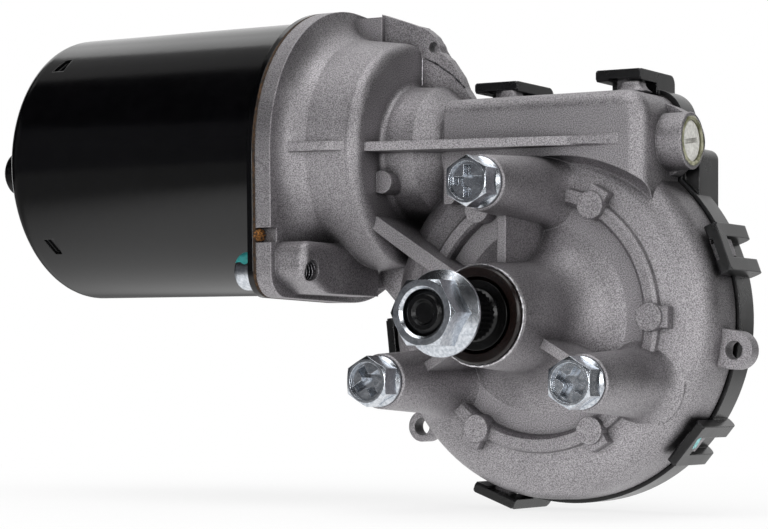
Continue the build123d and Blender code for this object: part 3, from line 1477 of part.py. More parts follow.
# ---- write every piece ----------------------------------------------------------------------
os.makedirs("parts", exist_ok=True)
export_step(gear_housing.part, "parts/gear_housing.step")
export_step(motor_can.part, "parts/motor_can.step")
export_step(can_gasket.part, "parts/can_gasket.step")
export_step(can_screws.part, "parts/can_screws.step")
export_step(field_magnets.part, "parts/field_magnets.step")
export_step(magnet_springs.part, "parts/magnet_springs.step")
export_step(can_bush.part, "parts/can_bush.step")
export_step(neck_bush.part, "parts/neck_bush.step")
export_step(nose_bush.part, "parts/nose_bush.step")
export_step(armature_shaft.part, "parts/armature_shaft.step")
export_step(armature_core.part, "parts/armature_core.step")
export_step(armature_insulators.part, "parts/armature_insulators.step")
export_step(armature_windings.part, "parts/armature_windings.step")
export_step(commutator_hub.part, "parts/commutator_hub.step")
export_step(commutator_bars.part, "parts/commutator_bars.step")
export_step(brush_card.part, "parts/brush_card.step")
export_step(brushes.part, "parts/brushes.step")
export_step(brush_holders.part, "parts/brush_holders.step")
export_step(brush_springs.part, "parts/brush_springs.step")
export_step(choke_cores.part, "parts/choke_cores.step")
export_step(choke_coils.part, "parts/choke_coils.step")
export_step(suppression_capacitor.part, "parts/suppression_capacitor.step")
export_step(thrust_pad.part, "parts/thrust_pad.step")
export_step(thrust_screw.part, "parts/thrust_screw.step")
export_step(thrust_lock_ring.part, "parts/thrust_lock_ring.step")
export_step(output_shaft.part, "parts/output_shaft.step")
export_step(drive_plate.part, "parts/drive_plate.step")
export_step(worm_wheel.part, "parts/worm_wheel.step")
export_step(park_disc.part, "parts/park_disc.step")
export_step(crank_nut.part, "parts/crank_nut.step")
export_step(front_ring.part, "parts/front_ring.step")
export_step(rear_ring.part, "parts/rear_ring.step")
export_step(thrust_washer.part, "parts/thrust_washer.step")
export_step(output_bushes.part, "parts/output_bushes.step")
export_step(shaft_seal.part, "parts/shaft_seal.step")
export_step(mounting_bolts.part, "parts/mounting_bolts.step")
export_step(rear_cover.part, "parts/rear_cover.step")
export_step(cover_gasket.part, "parts/cover_gasket.step")
export_step(connector_pins.part, "parts/connector_pins.step")
export_step(brush_leads.part, "parts/brush_leads.step")
export_step(contact_fingers.part, "parts/contact_fingers.step")
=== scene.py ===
import json
import math

import bmesh
import bpy
from mathutils import Matrix, Vector, noise


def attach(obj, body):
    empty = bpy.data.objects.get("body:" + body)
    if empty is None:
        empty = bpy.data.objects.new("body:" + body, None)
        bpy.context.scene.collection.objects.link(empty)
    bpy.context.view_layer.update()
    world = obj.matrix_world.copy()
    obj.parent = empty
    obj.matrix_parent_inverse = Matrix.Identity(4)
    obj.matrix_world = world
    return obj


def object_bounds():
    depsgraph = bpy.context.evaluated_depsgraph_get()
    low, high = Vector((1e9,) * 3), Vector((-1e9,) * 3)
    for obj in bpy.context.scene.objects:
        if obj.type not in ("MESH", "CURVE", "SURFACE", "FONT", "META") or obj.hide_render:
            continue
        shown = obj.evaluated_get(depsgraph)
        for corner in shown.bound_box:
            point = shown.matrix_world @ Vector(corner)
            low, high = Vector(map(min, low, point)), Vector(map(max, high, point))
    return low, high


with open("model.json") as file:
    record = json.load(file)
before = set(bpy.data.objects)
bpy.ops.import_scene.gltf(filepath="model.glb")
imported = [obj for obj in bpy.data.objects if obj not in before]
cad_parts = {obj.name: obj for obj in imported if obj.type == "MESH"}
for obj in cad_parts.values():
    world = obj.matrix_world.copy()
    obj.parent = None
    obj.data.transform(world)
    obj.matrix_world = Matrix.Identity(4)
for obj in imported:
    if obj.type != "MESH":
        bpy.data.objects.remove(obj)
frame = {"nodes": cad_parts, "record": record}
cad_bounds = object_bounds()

# Wiper motor: a die-cast worm gearbox with a crank shaft, and a permanent-magnet motor in a
# drawn black can.  Metres in the frame, +Z up, the crank shaft along -Y, the armature along X.

MM = 0.001

# Sockets of a colour Mix node, which share their names with its other types
MIX_SHARE = 0
MIX_UNDER = 6
MIX_OVER = 7
MIX_COLOUR = 2

# How a finish is drawn.  The cuts are the part of a noise or of a corner's openness that the
# change from one value to the other takes up.
GRAIN_CUT = (0.36, 0.64)
GRAIN_DETAIL = 2.0
CLOUD_CUT = (0.3, 0.7)
CLOUD_DETAIL = 3.0
CORNER_SHADE_CUT = (0.25, 0.85)
EDGE_CUT = (0.35, 0.8)
EDGE_REACH_MM = 0.7
EDGE_RUB = 0.75
SPECK_STRENGTH = 0.5
SHADER_SAMPLES = 6
# Plastics, rubber, paint and lacquer all lie near this; metals keep the shader's own
PLAIN_IOR = 1.5


# ---- finishes ------------------------------------------------------------------------------
def linear(hex_colour):
    """An sRGB hex colour as the linear values that the shader works in."""
    channels = [int(hex_colour[i:i + 2], 16) / 255 for i in (1, 3, 5)]
    return tuple([c / 12.92 if c <= 0.04045 else ((c + 0.055) / 1.055) ** 2.4 for c in channels] + [1.0])


def add_node(tree, kind, settings, inputs):
    """Adds a node, sets its settings, and gives each input a value or a link."""
    node = tree.nodes.new(kind)
    for name, value in settings.items():
        setattr(node, name, value)
    for socket, value in inputs.items():
        if isinstance(value, bpy.types.NodeSocket):
            tree.links.new(value, node.inputs[socket])
        else:
            node.inputs[socket].default_value = value
    return node


def finish(
    name,
    tones,
    grain_mm,
    roughness,
    metallic=0.0,
    see_through=0.0,
    relief_mm=0.0,
    cloud=(8.0, 0.9),
    stretch=(1, 1, 1),
    round_mm=0.0,
    rubbed=None,
    painted_corner_shade=None,
    specks=None,
):
    """One finish.

    tones: dark and light hex colour, mixed in blotches of grain_mm.
    roughness: lowest and highest, which change with the slow shading.
    relief_mm: height of the grain.
    cloud: size in mm and lowest brightness of the slow shading over the whole part.
    stretch: the grain's scale along X, Y and Z, for rolled, turned and stacked surfaces.
    round_mm: radius that the edges look broken to.
    rubbed: hex colour of the edges.
    recess: hex colour, reach in mm and strength of the painted shade that darkens the colour in corners.
    specks: hex colour, spacing in mm and radius, as a share of the spacing, of loose dust.
    """
    material = bpy.data.materials.new(name)
    material.use_nodes = True
    tree = material.node_tree
    shader = tree.nodes["Principled BSDF"]
    shader.inputs["Metallic"].default_value = metallic
    shader.inputs["Subsurface Weight"].default_value = see_through
    if not metallic:
        shader.inputs["IOR"].default_value = PLAIN_IOR

    place = add_node(tree, "ShaderNodeTexCoord", {}, {})
    stretched = add_node(
        tree, "ShaderNodeMapping", {}, {"Vector": place.outputs["Object"], "Scale": stretch}
    )
    grain = add_node(
        tree,
        "ShaderNodeTexNoise",
        {},
        {
            "Vector": stretched.outputs["Vector"],
            "Scale": 1 / (grain_mm * MM),
            "Detail": GRAIN_DETAIL,
        },
    )
    grain_share = add_node(
        tree,
        "ShaderNodeMapRange",
        {},
        {"Value": grain.outputs["Fac"], "From Min": GRAIN_CUT[0], "From Max": GRAIN_CUT[1]},
    )
    colour = add_node(
        tree,
        "ShaderNodeMix",
        {"data_type": "RGBA"},
        {
            MIX_SHARE: grain_share.outputs["Result"],
            MIX_UNDER: linear(tones[0]),
            MIX_OVER: linear(tones[1]),
        },
    )
    slow = add_node(
        tree,
        "ShaderNodeTexNoise",
        {},
        {
            "Vector": place.outputs["Object"],
            "Scale": 1 / (cloud[0] * MM),
            "Detail": CLOUD_DETAIL,
        },
    )
    shade = add_node(
        tree,
        "ShaderNodeMapRange",
        {},
        {
            "Value": slow.outputs["Fac"],
            "From Min": CLOUD_CUT[0],
            "From Max": CLOUD_CUT[1],
            "To Min": cloud[1],
            "To Max": 1.0,
        },
    )
    colour = add_node(
        tree,
        "ShaderNodeMix",
        {"data_type": "RGBA", "blend_type": "MULTIPLY"},
        {
            MIX_SHARE: 1.0,
            MIX_UNDER: colour.outputs[MIX_COLOUR],
            MIX_OVER: shade.outputs["Result"],
        },
    )

    # What lies over the grain: the share that each covers, and its colour
    layers = []
    # Painted shade: the colour is drawn darker, towards the recess colour, in corners and hollows that
    # ambient occlusion finds
    if painted_corner_shade:
        corner = add_node(
            tree,
            "ShaderNodeAmbientOcclusion",
            {"samples": SHADER_SAMPLES},
            {"Distance": painted_corner_shade[1] * MM},
        )
        shade_share = add_node(
            tree,
            "ShaderNodeMapRange",
            {},
            {
                "Value": corner.outputs["AO"],
                "From Min": CORNER_SHADE_CUT[0],
                "From Max": CORNER_SHADE_CUT[1],
                "To Min": painted_corner_shade[2],
                "To Max": 0.0,
            },
        )
        layers.append((shade_share, painted_corner_shade[0]))
    if rubbed:
        inner = add_node(
            tree,
            "ShaderNodeAmbientOcclusion",
            {"samples": SHADER_SAMPLES, "inside": True, "only_local": True},
            {"Distance": EDGE_REACH_MM * MM},
        )
        edge = add_node(
            tree,
            "ShaderNodeMapRange",
            {},
            {
                "Value": inner.outputs["AO"],
                "From Min": EDGE_CUT[0],
                "From Max": EDGE_CUT[1],
                "To Min": EDGE_RUB,
                "To Max": 0.0,
            },
        )
        layers.append((edge, rubbed))
    if specks:
        dots = add_node(
            tree,
            "ShaderNodeTexVoronoi",
            {},
            {"Vector": place.outputs["Object"], "Scale": 1 / (specks[1] * MM)},
        )
        dot = add_node(
            tree,
            "ShaderNodeMapRange",
            {},
            {
                "Value": dots.outputs["Distance"],
                "From Min": specks[2],
                "From Max": specks[2] / 2,
                "To Min": 0.0,
                "To Max": SPECK_STRENGTH,
            },
        )
        layers.append((dot, specks[0]))
    for share, hex_colour in layers:
        colour = add_node(
            tree,
            "ShaderNodeMix",
            {"data_type": "RGBA"},
            {
                MIX_SHARE: share.outputs["Result"],
                MIX_UNDER: colour.outputs[MIX_COLOUR],
                MIX_OVER: linear(hex_colour),
            },
        )
    tree.links.new(colour.outputs[MIX_COLOUR], shader.inputs["Base Color"])

    gloss = add_node(
        tree,
        "ShaderNodeMapRange",
        {},
        {
            "Value": slow.outputs["Fac"],
            "From Min": CLOUD_CUT[0],
            "From Max": CLOUD_CUT[1],
            "To Min": roughness[0],
            "To Max": roughness[1],
        },
    )
    tree.links.new(gloss.outputs["Result"], shader.inputs["Roughness"])

    normal = None
    if round_mm:
        normal = add_node(
            tree, "ShaderNodeBevel", {"samples": SHADER_SAMPLES}, {"Radius": round_mm * MM}
        )
    if relief_mm:
        under = {"Normal": normal.outputs["Normal"]} if normal else {}
        normal = add_node(
            tree,
            "ShaderNodeBump",
            {},
            {"Strength": 1.0, "Distance": relief_mm * MM, "Height": grain.outputs["Fac"], **under},
        )
    if normal:
        tree.links.new(normal.outputs["Normal"], shader.inputs["Normal"])
    return material


FINISHES = {
    # Pressure die-cast aluminium, shot-blasted: warm mid grey and sandy, with painted shade
    # darkening its corners.  The blast pits are 0.1 mm, too fine to show, so they are drawn at
    # 0.25 mm.
    "cast_aluminium": finish(
        "aluminium_die_cast_blasted",
        ("#827F82", "#C6C3C6"),
        grain_mm=0.25,
        roughness=(0.5, 0.6),
        metallic=1.0,
        relief_mm=0.06,
        cloud=(11.0, 0.85),
        round_mm=0.45,
        painted_corner_shade=("#2A292B", 5.0, 0.8),
    ),
    # Deep-drawn steel, dipped black: an even gloss with a faint orange peel, whose bumps are
    # 2.6 mm across, and a few specks of dust
    "black_coated_steel": finish(
        "steel_drawn_black_dip",
        ("#020203", "#040405"),
        grain_mm=2.6,
        roughness=(0.14, 0.19),
        relief_mm=0.012,
        cloud=(20.0, 0.8),
        round_mm=0.4,
        specks=("#2E2E2F", 3.2, 0.045),
    ),
    # Pressed fibre card: brown, dry and fuzzy, stained darker where it is squeezed.  Its
    # fibres lie in tufts of 0.6 mm.
    "gasket_card": finish(
        "fibre_card_pressed",
        ("#1C140D", "#4C3318"),
        grain_mm=0.6,
        roughness=(0.8, 0.95),
        relief_mm=0.05,
        cloud=(2.4, 0.45),
    ),
    # Cold-headed steel, bright zinc plate: nearly a mirror, with dull spots of 0.7 mm from
    # tumbling
    "zinc_plate": finish(
        "steel_cold_headed_bright_zinc",
        ("#C2C8D0", "#E2E6EC"),
        grain_mm=0.7,
        roughness=(0.2, 0.25),
        metallic=1.0,
        relief_mm=0.005,
        cloud=(1.6, 0.88),
        round_mm=0.15,
        # Painted shade: the colour darkens in corners and hollows
        painted_corner_shade=("#3A4046", 1.4, 0.6),
    ),
    # Sintered ferrite: nearly black, stone-like.  The sinter's grains are 0.01 mm, too fine to
    # show, so they are drawn at 0.6 mm.
    "ferrite_magnet": finish(
        "ferrite_sintered",
        ("#2C2A2B", "#3A3839"),
        grain_mm=0.6,
        roughness=(0.6, 0.75),
        relief_mm=0.03,
        round_mm=0.3,
    ),
    # Rolled spring steel: blue-grey, with the roll's long streaks.  They are 0.05 mm wide, too
    # fine to show, so they are drawn at 0.5 mm.
    "spring_steel": finish(
        "steel_spring_rolled",
        ("#6F747A", "#8C9197"),
        grain_mm=0.5,
        roughness=(0.28, 0.42),
        metallic=1.0,
        relief_mm=0.006,
        stretch=(0.08, 1, 1),
    ),
    # Sintered bronze with oil in its pores: warm, dull and speckled.  The pores are 0.1 mm,
    # too fine to show, so they are drawn at 0.35 mm.
    "sintered_bronze": finish(
        "bronze_sintered_oiled",
        ("#7E5933", "#A67C4B"),
        grain_mm=0.35,
        roughness=(0.42, 0.6),
        metallic=1.0,
        relief_mm=0.03,
        # Painted shade: the colour darkens in corners and hollows
        painted_corner_shade=("#3A2A18", 1.5, 0.5),
    ),
    # Phenolic paper board: warm brown, with the paper's 0.6 mm flecks drawn out along its sheet
    "phenolic_board": finish(
        "phenolic_paper_pressed",
        ("#7A4A26", "#935F36"),
        grain_mm=0.6,
        roughness=(0.48, 0.62),
        relief_mm=0.01,
        stretch=(1, 0.3, 1),
    ),
    # Pressed carbon: black and powdery, with a worn shine.  The powder is 0.05 mm, too fine to
    # show, so it is drawn at 0.3 mm.
    "carbon": finish(
        "carbon_pressed",
        ("#1D1D1E", "#2C2C2D"),
        grain_mm=0.3,
        roughness=(0.55, 0.75),
        relief_mm=0.02,
    ),
    # Stamped brass sheet: yellow and half bright, with the press oil's spots of 0.7 mm
    "brass_sheet": finish(
        "brass_stamped",
        ("#B08D4A", "#C9A860"),
        grain_mm=0.7,
        roughness=(0.22, 0.38),
        metallic=1.0,
        relief_mm=0.006,
        # Painted shade: the colour darkens in corners and hollows
        painted_corner_shade=("#6B5326", 1.5, 0.5),
    ),
    # Copper wire under clear enamel: red-brown, a stripe for each 0.6 mm turn
    "enamelled_copper": finish(
        "copper_wire_enamelled",
        ("#6E2F15", "#A8532B"),
        grain_mm=0.6,
        roughness=(0.22, 0.36),
        metallic=0.3,
        relief_mm=0.12,
        stretch=(0.2, 1, 1),
        # Painted shade: the colour darkens in corners and hollows
        painted_corner_shade=("#3A180B", 2.0, 0.6),
    ),
    # Dipped resin: ochre and glossy, uneven over 1.6 mm where it ran
    "capacitor_resin": finish(
        "resin_dipped_ochre",
        ("#A8682A", "#BC7A36"),
        grain_mm=1.6,
        roughness=(0.18, 0.3),
        relief_mm=0.04,
        round_mm=0.4,
    ),
    # Moulded natural nylon: cream, slightly see-through and satin, with flow marks of 1.2 mm
    "nylon_natural": finish(
        "nylon_moulded_natural",
        ("#D2C9B4", "#E2DBC9"),
        grain_mm=1.2,
        roughness=(0.36, 0.5),
        see_through=0.1,
        relief_mm=0.01,
        # Painted shade: the colour darkens in corners and hollows
        painted_corner_shade=("#A79B80", 1.5, 0.4),
    ),
    # Moulded acetal: white and slippery, with a driver's rub marks, 0.7 mm across
    "thrust_plastic": finish(
        "acetal_moulded_white",
        ("#B4B3AE", "#CFCEC9"),
        grain_mm=0.7,
        roughness=(0.38, 0.55),
        relief_mm=0.05,
        round_mm=0.25,
    ),
    # Brushed-on locking lacquer: olive green, thick and glossy, with brush marks of 0.5 mm
    "locking_lacquer": finish(
        "lacquer_brushed_olive",
        ("#4F5130", "#7D7A4C"),
        grain_mm=0.5,
        roughness=(0.22, 0.45),
        relief_mm=0.1,
    ),
    # Moulded nitrile rubber: black with a greasy shine, and a brown bloom in spots of 0.6 mm
    "seal_rubber": finish(
        "nitrile_moulded_black",
        ("#0C0605", "#170B08"),
        grain_mm=0.6,
        roughness=(0.2, 0.3),
        relief_mm=0.01,
        round_mm=0.3,
    ),
    # Glass-filled nylon, moulded in a spark-eroded tool: black and satin, its edges rubbed grey.
    # The tool's pebble is 0.1 mm, too fine to show, so it is drawn at 0.45 mm.
    "cover_plastic": finish(
        "nylon_glass_filled_moulded",
        ("#050506", "#0B0B0C"),
        grain_mm=0.45,
        roughness=(0.25, 0.33),
        relief_mm=0.02,
        cloud=(9.0, 0.85),
        round_mm=0.35,
        rubbed="#1E1F22",
    ),
    # Tin-plated brass: pale grey and soft, with the plate's patches of 0.6 mm
    "tinned_brass": finish(
        "brass_tin_plated",
        ("#A9A9A4", "#C8C8C4"),
        grain_mm=0.6,
        roughness=(0.26, 0.4),
        metallic=1.0,
        relief_mm=0.006,
    ),
    # Ground bearing steel: clean grey with the wheel's fine rings.  They are 0.02 mm wide, too
    # fine to show, so they are drawn at 0.4 mm.
    "ground_steel": finish(
        "steel_ground",
        ("#85888B", "#A4A7AA"),
        grain_mm=0.4,
        roughness=(0.18, 0.3),
        metallic=1.0,
        stretch=(1.6, 0.2, 0.2),
    ),
    # Stacked electrical sheet: dull grey, a stripe for each 0.5 mm sheet
    "lamination_steel": finish(
        "steel_electrical_stacked",
        ("#4B4D50", "#74777A"),
        grain_mm=0.5,
        roughness=(0.42, 0.6),
        metallic=1.0,
        relief_mm=0.03,
        stretch=(1, 0.05, 0.05),
    ),
    # Slot paper: pale green-grey and matt, with its fibres in flecks of 0.8 mm
    "insulating_film": finish(
        "slot_paper_pressed",
        ("#8E9C88", "#A3B09D"),
        grain_mm=0.8,
        roughness=(0.6, 0.75),
        relief_mm=0.01,
    ),
    # Turned copper: bright, with the brushes' rings round it.  They are 0.05 mm wide, too fine
    # to show, so they are drawn at 0.3 mm.
    "commutator_copper": finish(
        "copper_turned",
        ("#A05C38", "#C98358"),
        grain_mm=0.3,
        roughness=(0.24, 0.38),
        metallic=1.0,
        relief_mm=0.005,
        stretch=(1.5, 0.1, 0.1),
    ),
    # Blackened steel, oiled: dark with a soft sheen, the oil in spots of 0.4 mm
    "dark_steel": finish(
        "steel_blackened_oiled",
        ("#050506", "#0B0B0D"),
        grain_mm=0.4,
        roughness=(0.18, 0.3),
        metallic=0.3,
        relief_mm=0.02,
        cloud=(3.0, 0.6),
        round_mm=0.25,
    ),
    # Moulded rubber ring: black and satin, with a bloom in spots of 0.6 mm
    "black_ring": finish(
        "rubber_moulded_black",
        ("#040404", "#080707"),
        grain_mm=0.6,
        roughness=(0.18, 0.26),
        relief_mm=0.01,
        round_mm=0.2,
    ),
}
SLOT_OF = {part["node"]: part["material_slot"] for part in frame["record"]["subparts"]}

for node_name, node in frame["nodes"].items():
    for material_slot in node.material_slots:
        material_slot.material = FINISHES[SLOT_OF[node_name]]

# The finish of each small piece below, and the record's slot that it comes under.  Paint marks
# come under none.
PIECE_FINISHES = {
    "cast_skin": (FINISHES["cast_aluminium"], "cast_aluminium"),
    # Painted highlight: die casting drawn as if rubbed bare, much brighter than the blasted skin,
    # for ridges on edges where the light catches, in spots of 0.5 mm
    "highlight_casting": (
        finish(
            "aluminium_die_cast_painted_highlight",
            ("#B9B7BA", "#EDEBEE"),
            grain_mm=0.5,
            roughness=(0.3, 0.42),
            metallic=1.0,
            relief_mm=0.05,
        ),
        "cast_aluminium",
    ),
    # Painted shadow: casting flash drawn dark for the shadow line along the rear plate's step,
    # in spots of 0.7 mm
    "shadow_flash": (
        finish(
            "aluminium_flash_painted_shadow",
            ("#242326", "#5A585B"),
            grain_mm=0.7,
            roughness=(0.55, 0.7),
            metallic=0.6,
            relief_mm=0.08,
        ),
        "cast_aluminium",
    ),
    # Cut thread, oiled: catches thin bright lines, with torn spots of 0.5 mm
    "cut_thread": (
        finish(
            "aluminium_thread_cut",
            ("#77767A", "#B4B2B6"),
            grain_mm=0.5,
            roughness=(0.25, 0.35),
            metallic=1.0,
            relief_mm=0.01,
        ),
        "cast_aluminium",
    ),
    # Gasket card squeezed out of the joint: rust-brown fibres in tufts of 0.5 mm
    "torn_card": (
        finish(
            "fibre_card_torn",
            ("#2A190C", "#A86F30"),
            grain_mm=0.5,
            roughness=(0.8, 0.95),
            relief_mm=0.15,
            cloud=(1.8, 0.5),
        ),
        "gasket_card",
    ),
    # Locking lacquer where it has run over the casting: olive, thinning out to grey over 2.2 mm
    "run_lacquer": (
        finish(
            "lacquer_run_thin",
            ("#55563A", "#A3A28A"),
            grain_mm=2.2,
            roughness=(0.25, 0.45),
            relief_mm=0.12,
            cloud=(3.0, 0.7),
        ),
        "locking_lacquer",
    ),
    # Marking paint, brushed: teal, thick enough to be glossy, with brush marks of 1.2 mm
    "marking_paint": (
        finish(
            "paint_brushed_teal",
            ("#1F6E6E", "#2F8B89"),
            grain_mm=1.2,
            roughness=(0.3, 0.45),
            relief_mm=0.05,
        ),
        None,
    ),
    # The same paint dried thin and chalky on plastic, in flakes of 0.9 mm
    "thin_paint": (
        finish(
            "paint_dried_aqua",
            ("#6FB5B5", "#A6DEDE"),
            grain_mm=0.9,
            roughness=(0.45, 0.6),
            relief_mm=0.04,
        ),
        None,
    ),
}


# ---- small pieces that ride on the housing --------------------------------------------------
def put(name, data):
    """A new object in the scene."""
    thing = bpy.data.objects.new(name, data)
    bpy.context.scene.collection.objects.link(thing)
    return thing


def angles_round(step_degrees):
    """The angles round a full turn, in radians."""
    return [math.radians(angle) for angle in range(0, 360, step_degrees)]


def uneven(point, size_mm):
    """Noise from -1 to 1 that varies over size_mm."""
    return noise.noise(Vector(point) / size_mm)


def housing_piece(name, points, faces, piece_finish):
    """A closed mesh, points in mm, that rides on the housing."""
    material, slot = PIECE_FINISHES[piece_finish]
    mesh = bpy.data.meshes.new(name)
    mesh.from_pydata([Vector(point) * MM for point in points], [], faces)
    outward = bmesh.new()
    outward.from_mesh(mesh)
    bmesh.ops.recalc_face_normals(outward, faces=outward.faces)
    outward.to_mesh(mesh)
    outward.free()
    for polygon in mesh.polygons:
        polygon.use_smooth = True
    mesh.materials.append(material)
    piece = put(name, mesh)
    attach(piece, "housing")


def ring_skin(name, rings, piece_finish, closed=False):
    """Joins rings of points into a skin.  The ends are capped, or joined when closed."""
    count = len(rings)
    around = len(rings[0])
    faces = []
    for i in range(count if closed else count - 1):
        this = i * around
        following = (i + 1) % count * around
        for j in range(around):
            beside = (j + 1) % around
            faces.append((this + j, this + beside, following + beside, following + j))
    if not closed:
        faces.append(tuple(range(around)))
        faces.append(tuple(range((count - 1) * around, count * around)))
    housing_piece(name, [point for ring in rings for point in ring], faces, piece_finish)


RAG_MM = 0.6
FINE_RAG_MM = 0.25


def burr(name, path, across, radius, raggedness, piece_finish, closed=False):
    """A ragged six-sided ridge along a path.

    across gives the two directions of the ridge's section at each point.
    """
    rings = []
    for point, (first, second) in zip(path, across):
        rag = uneven(point, RAG_MM) + uneven(point, FINE_RAG_MM)
        thick = radius * (1 + raggedness * rag)
        rings.append(
            [
                Vector(point)
                + Vector(first) * thick * math.cos(turn)
                + Vector(second) * thick * math.sin(turn)
                for turn in angles_round(60)
            ]
        )
    ring_skin(name, rings, piece_finish, closed)


# Thread in the lower ear's hole: one ridge that winds along X
EAR_HOLE_Y = 8.0
EAR_HOLE_Z = 11.2
EAR_HOLE_R = 2.5
THREAD_START_X = -50.4
THREAD_END_X = -55.6
THREAD_PITCH = 0.8
THREAD_STEPS = 20
# The ridge's section: shift along X and distance from the hole's axis
THREAD_SECTION = ((0.3, EAR_HOLE_R + 0.02), (0.0, EAR_HOLE_R - 0.42), (-0.3, EAR_HOLE_R + 0.02))
thread_rings = []
for step in range(int((THREAD_START_X - THREAD_END_X) / THREAD_PITCH * THREAD_STEPS)):
    turn = 2 * math.pi * step / THREAD_STEPS
    x = THREAD_START_X - THREAD_PITCH * step / THREAD_STEPS
    thread_rings.append(
        [
            (x + shift, EAR_HOLE_Y + r * math.cos(turn), EAR_HOLE_Z + r * math.sin(turn))
            for shift, r in THREAD_SECTION
        ]
    )
ring_skin("ear_thread", thread_rings, "cut_thread")

# Burr that the mould leaves round the hub's mouth, drawn bright as a painted highlight on
# the rim
HUB_BURR_R = 11.25
HUB_BURR_Y = -0.1
hub_turns = angles_round(3)
burr(
    "hub_burr",
    [(HUB_BURR_R * math.cos(turn), HUB_BURR_Y, HUB_BURR_R * math.sin(turn)) for turn in hub_turns],
    [((math.cos(turn), 0, math.sin(turn)), (0, 1, 0)) for turn in hub_turns],
    radius=0.26,
    raggedness=0.7,
    piece_finish="highlight_casting",
    closed=True,
)

# A bright ridge along the rear plate's edge as painted highlight, and casting flash drawn
# dark as painted shadow along its step, each through its corners' X and Z
PLATE_FACE_Y = 40.6
PLATE_STEP = 0.35
PLATE_RIDGE_LEAN = (0.6, 0, 0.8)
PLATE_RIDGES = (
    ("plate_edge", "highlight_casting", ((-39.3, 57.7), (-39.3, 64.4))),
    ("plate_flash", "shadow_flash", ((-38.6, 64.3), (-35.4, 62.8), (-30.9, 59.8), (-27.2, 56.4))),
)
for ridge_name, ridge_finish, corners in PLATE_RIDGES:
    ridge = []
    for start, end in zip(corners, corners[1:]):
        run = Vector(end) - Vector(start)
        count = max(1, round(run.length / PLATE_STEP))
        ridge += [Vector(start) + run * i / count for i in range(count)]
    ridge.append(Vector(corners[-1]))
    burr(
        ridge_name,
        [(point.x, PLATE_FACE_Y, point.y) for point in ridge],
        [(PLATE_RIDGE_LEAN, (0, 1, 0))] * len(ridge),
        radius=0.2,
        raggedness=0.6,
        piece_finish=ridge_finish,
    )


# Cast lugs that the cover's two upper loops hook over: waisted blocks with a flared foot
def squared(value):
    """Pulls the cosine or sine of a circle out towards a square."""
    return math.copysign(abs(value) ** 0.5, value)


LUG_Y = 36.6
LUG_FOOT_Z = 52.2
LUG_HALF_DEPTH = 2.1
LUG_LEVELS = (0.0, 0.15, 0.3, 0.55, 0.8, 0.93, 1.0)
# The share of the height where the crown starts to round off, and how far it draws in
CROWN_START = 0.75
CROWN_DRAW = 0.35
# Each lug: name, X, half width, flare of the foot, height of the top
LUGS = (
    ("lug_right", 19.9, 2.6, 1.6, 54.85),
    ("lug_left", -12.2, 2.3, 1.0, 54.7),
)
for lug_name, lug_x, half_width, foot, top_z in LUGS:
    lug_rings = []
    for level in LUG_LEVELS:
        flare = foot * (1 - level) ** 3
        crown = 1 - CROWN_DRAW * max(0.0, (level - CROWN_START) / (1 - CROWN_START)) ** 2
        reach_x = (half_width + flare) * crown
        reach_y = (LUG_HALF_DEPTH + flare / 2) * crown
        z = LUG_FOOT_Z + (top_z - LUG_FOOT_Z) * level
        lug_rings.append(
            [
                (
                    lug_x + reach_x * squared(math.cos(turn)),
                    LUG_Y + reach_y * squared(math.sin(turn)),
                    z,
                )
                for turn in angles_round(15)
            ]
        )
    ring_skin(lug_name, lug_rings, "cast_skin")

# Lacquer that has run out round the thrust screw, thicker on one side
SCREW_Y = 38.0
SCREW_Z = 40.5
BOSS_END_X = 34.2
LACQUER_INNER_R = 4.7
LACQUER_RISE_R = 4.8
LACQUER_TOP_R = 5.2
LACQUER_OUTER_R = 5.75
LACQUER_SUNK = 0.25
LACQUER_THICK = 0.2
LACQUER_LEAN = 0.12
LACQUER_LUMPS = 0.08
LACQUER_LUMP_MM = 0.7
EDGE_WANDER = 0.3
EDGE_WANDER_MM = 0.9
# Where round the screw the unevenness is read
UNEVEN_R = 3
lacquer_rings = []
for turn in angles_round(5):
    y = math.cos(turn)
    z = math.sin(turn)
    outer_r = LACQUER_OUTER_R + EDGE_WANDER * uneven((UNEVEN_R * y, UNEVEN_R * z, 0), EDGE_WANDER_MM)
    lumps = LACQUER_LUMPS * uneven((UNEVEN_R * y, 0, UNEVEN_R * z), LACQUER_LUMP_MM)
    thick = LACQUER_THICK + LACQUER_LEAN * y + lumps
    section = (
        (LACQUER_INNER_R, -LACQUER_SUNK),
        (LACQUER_RISE_R, thick * 0.7),
        (LACQUER_TOP_R, thick),
        (outer_r, thick * 0.3),
        (outer_r, -LACQUER_SUNK),
    )
    lacquer_rings.append([(BOSS_END_X + lift, SCREW_Y + r * y, SCREW_Z + r * z) for r, lift in section])
ring_skin("lacquer_rim", lacquer_rings, "run_lacquer", closed=True)

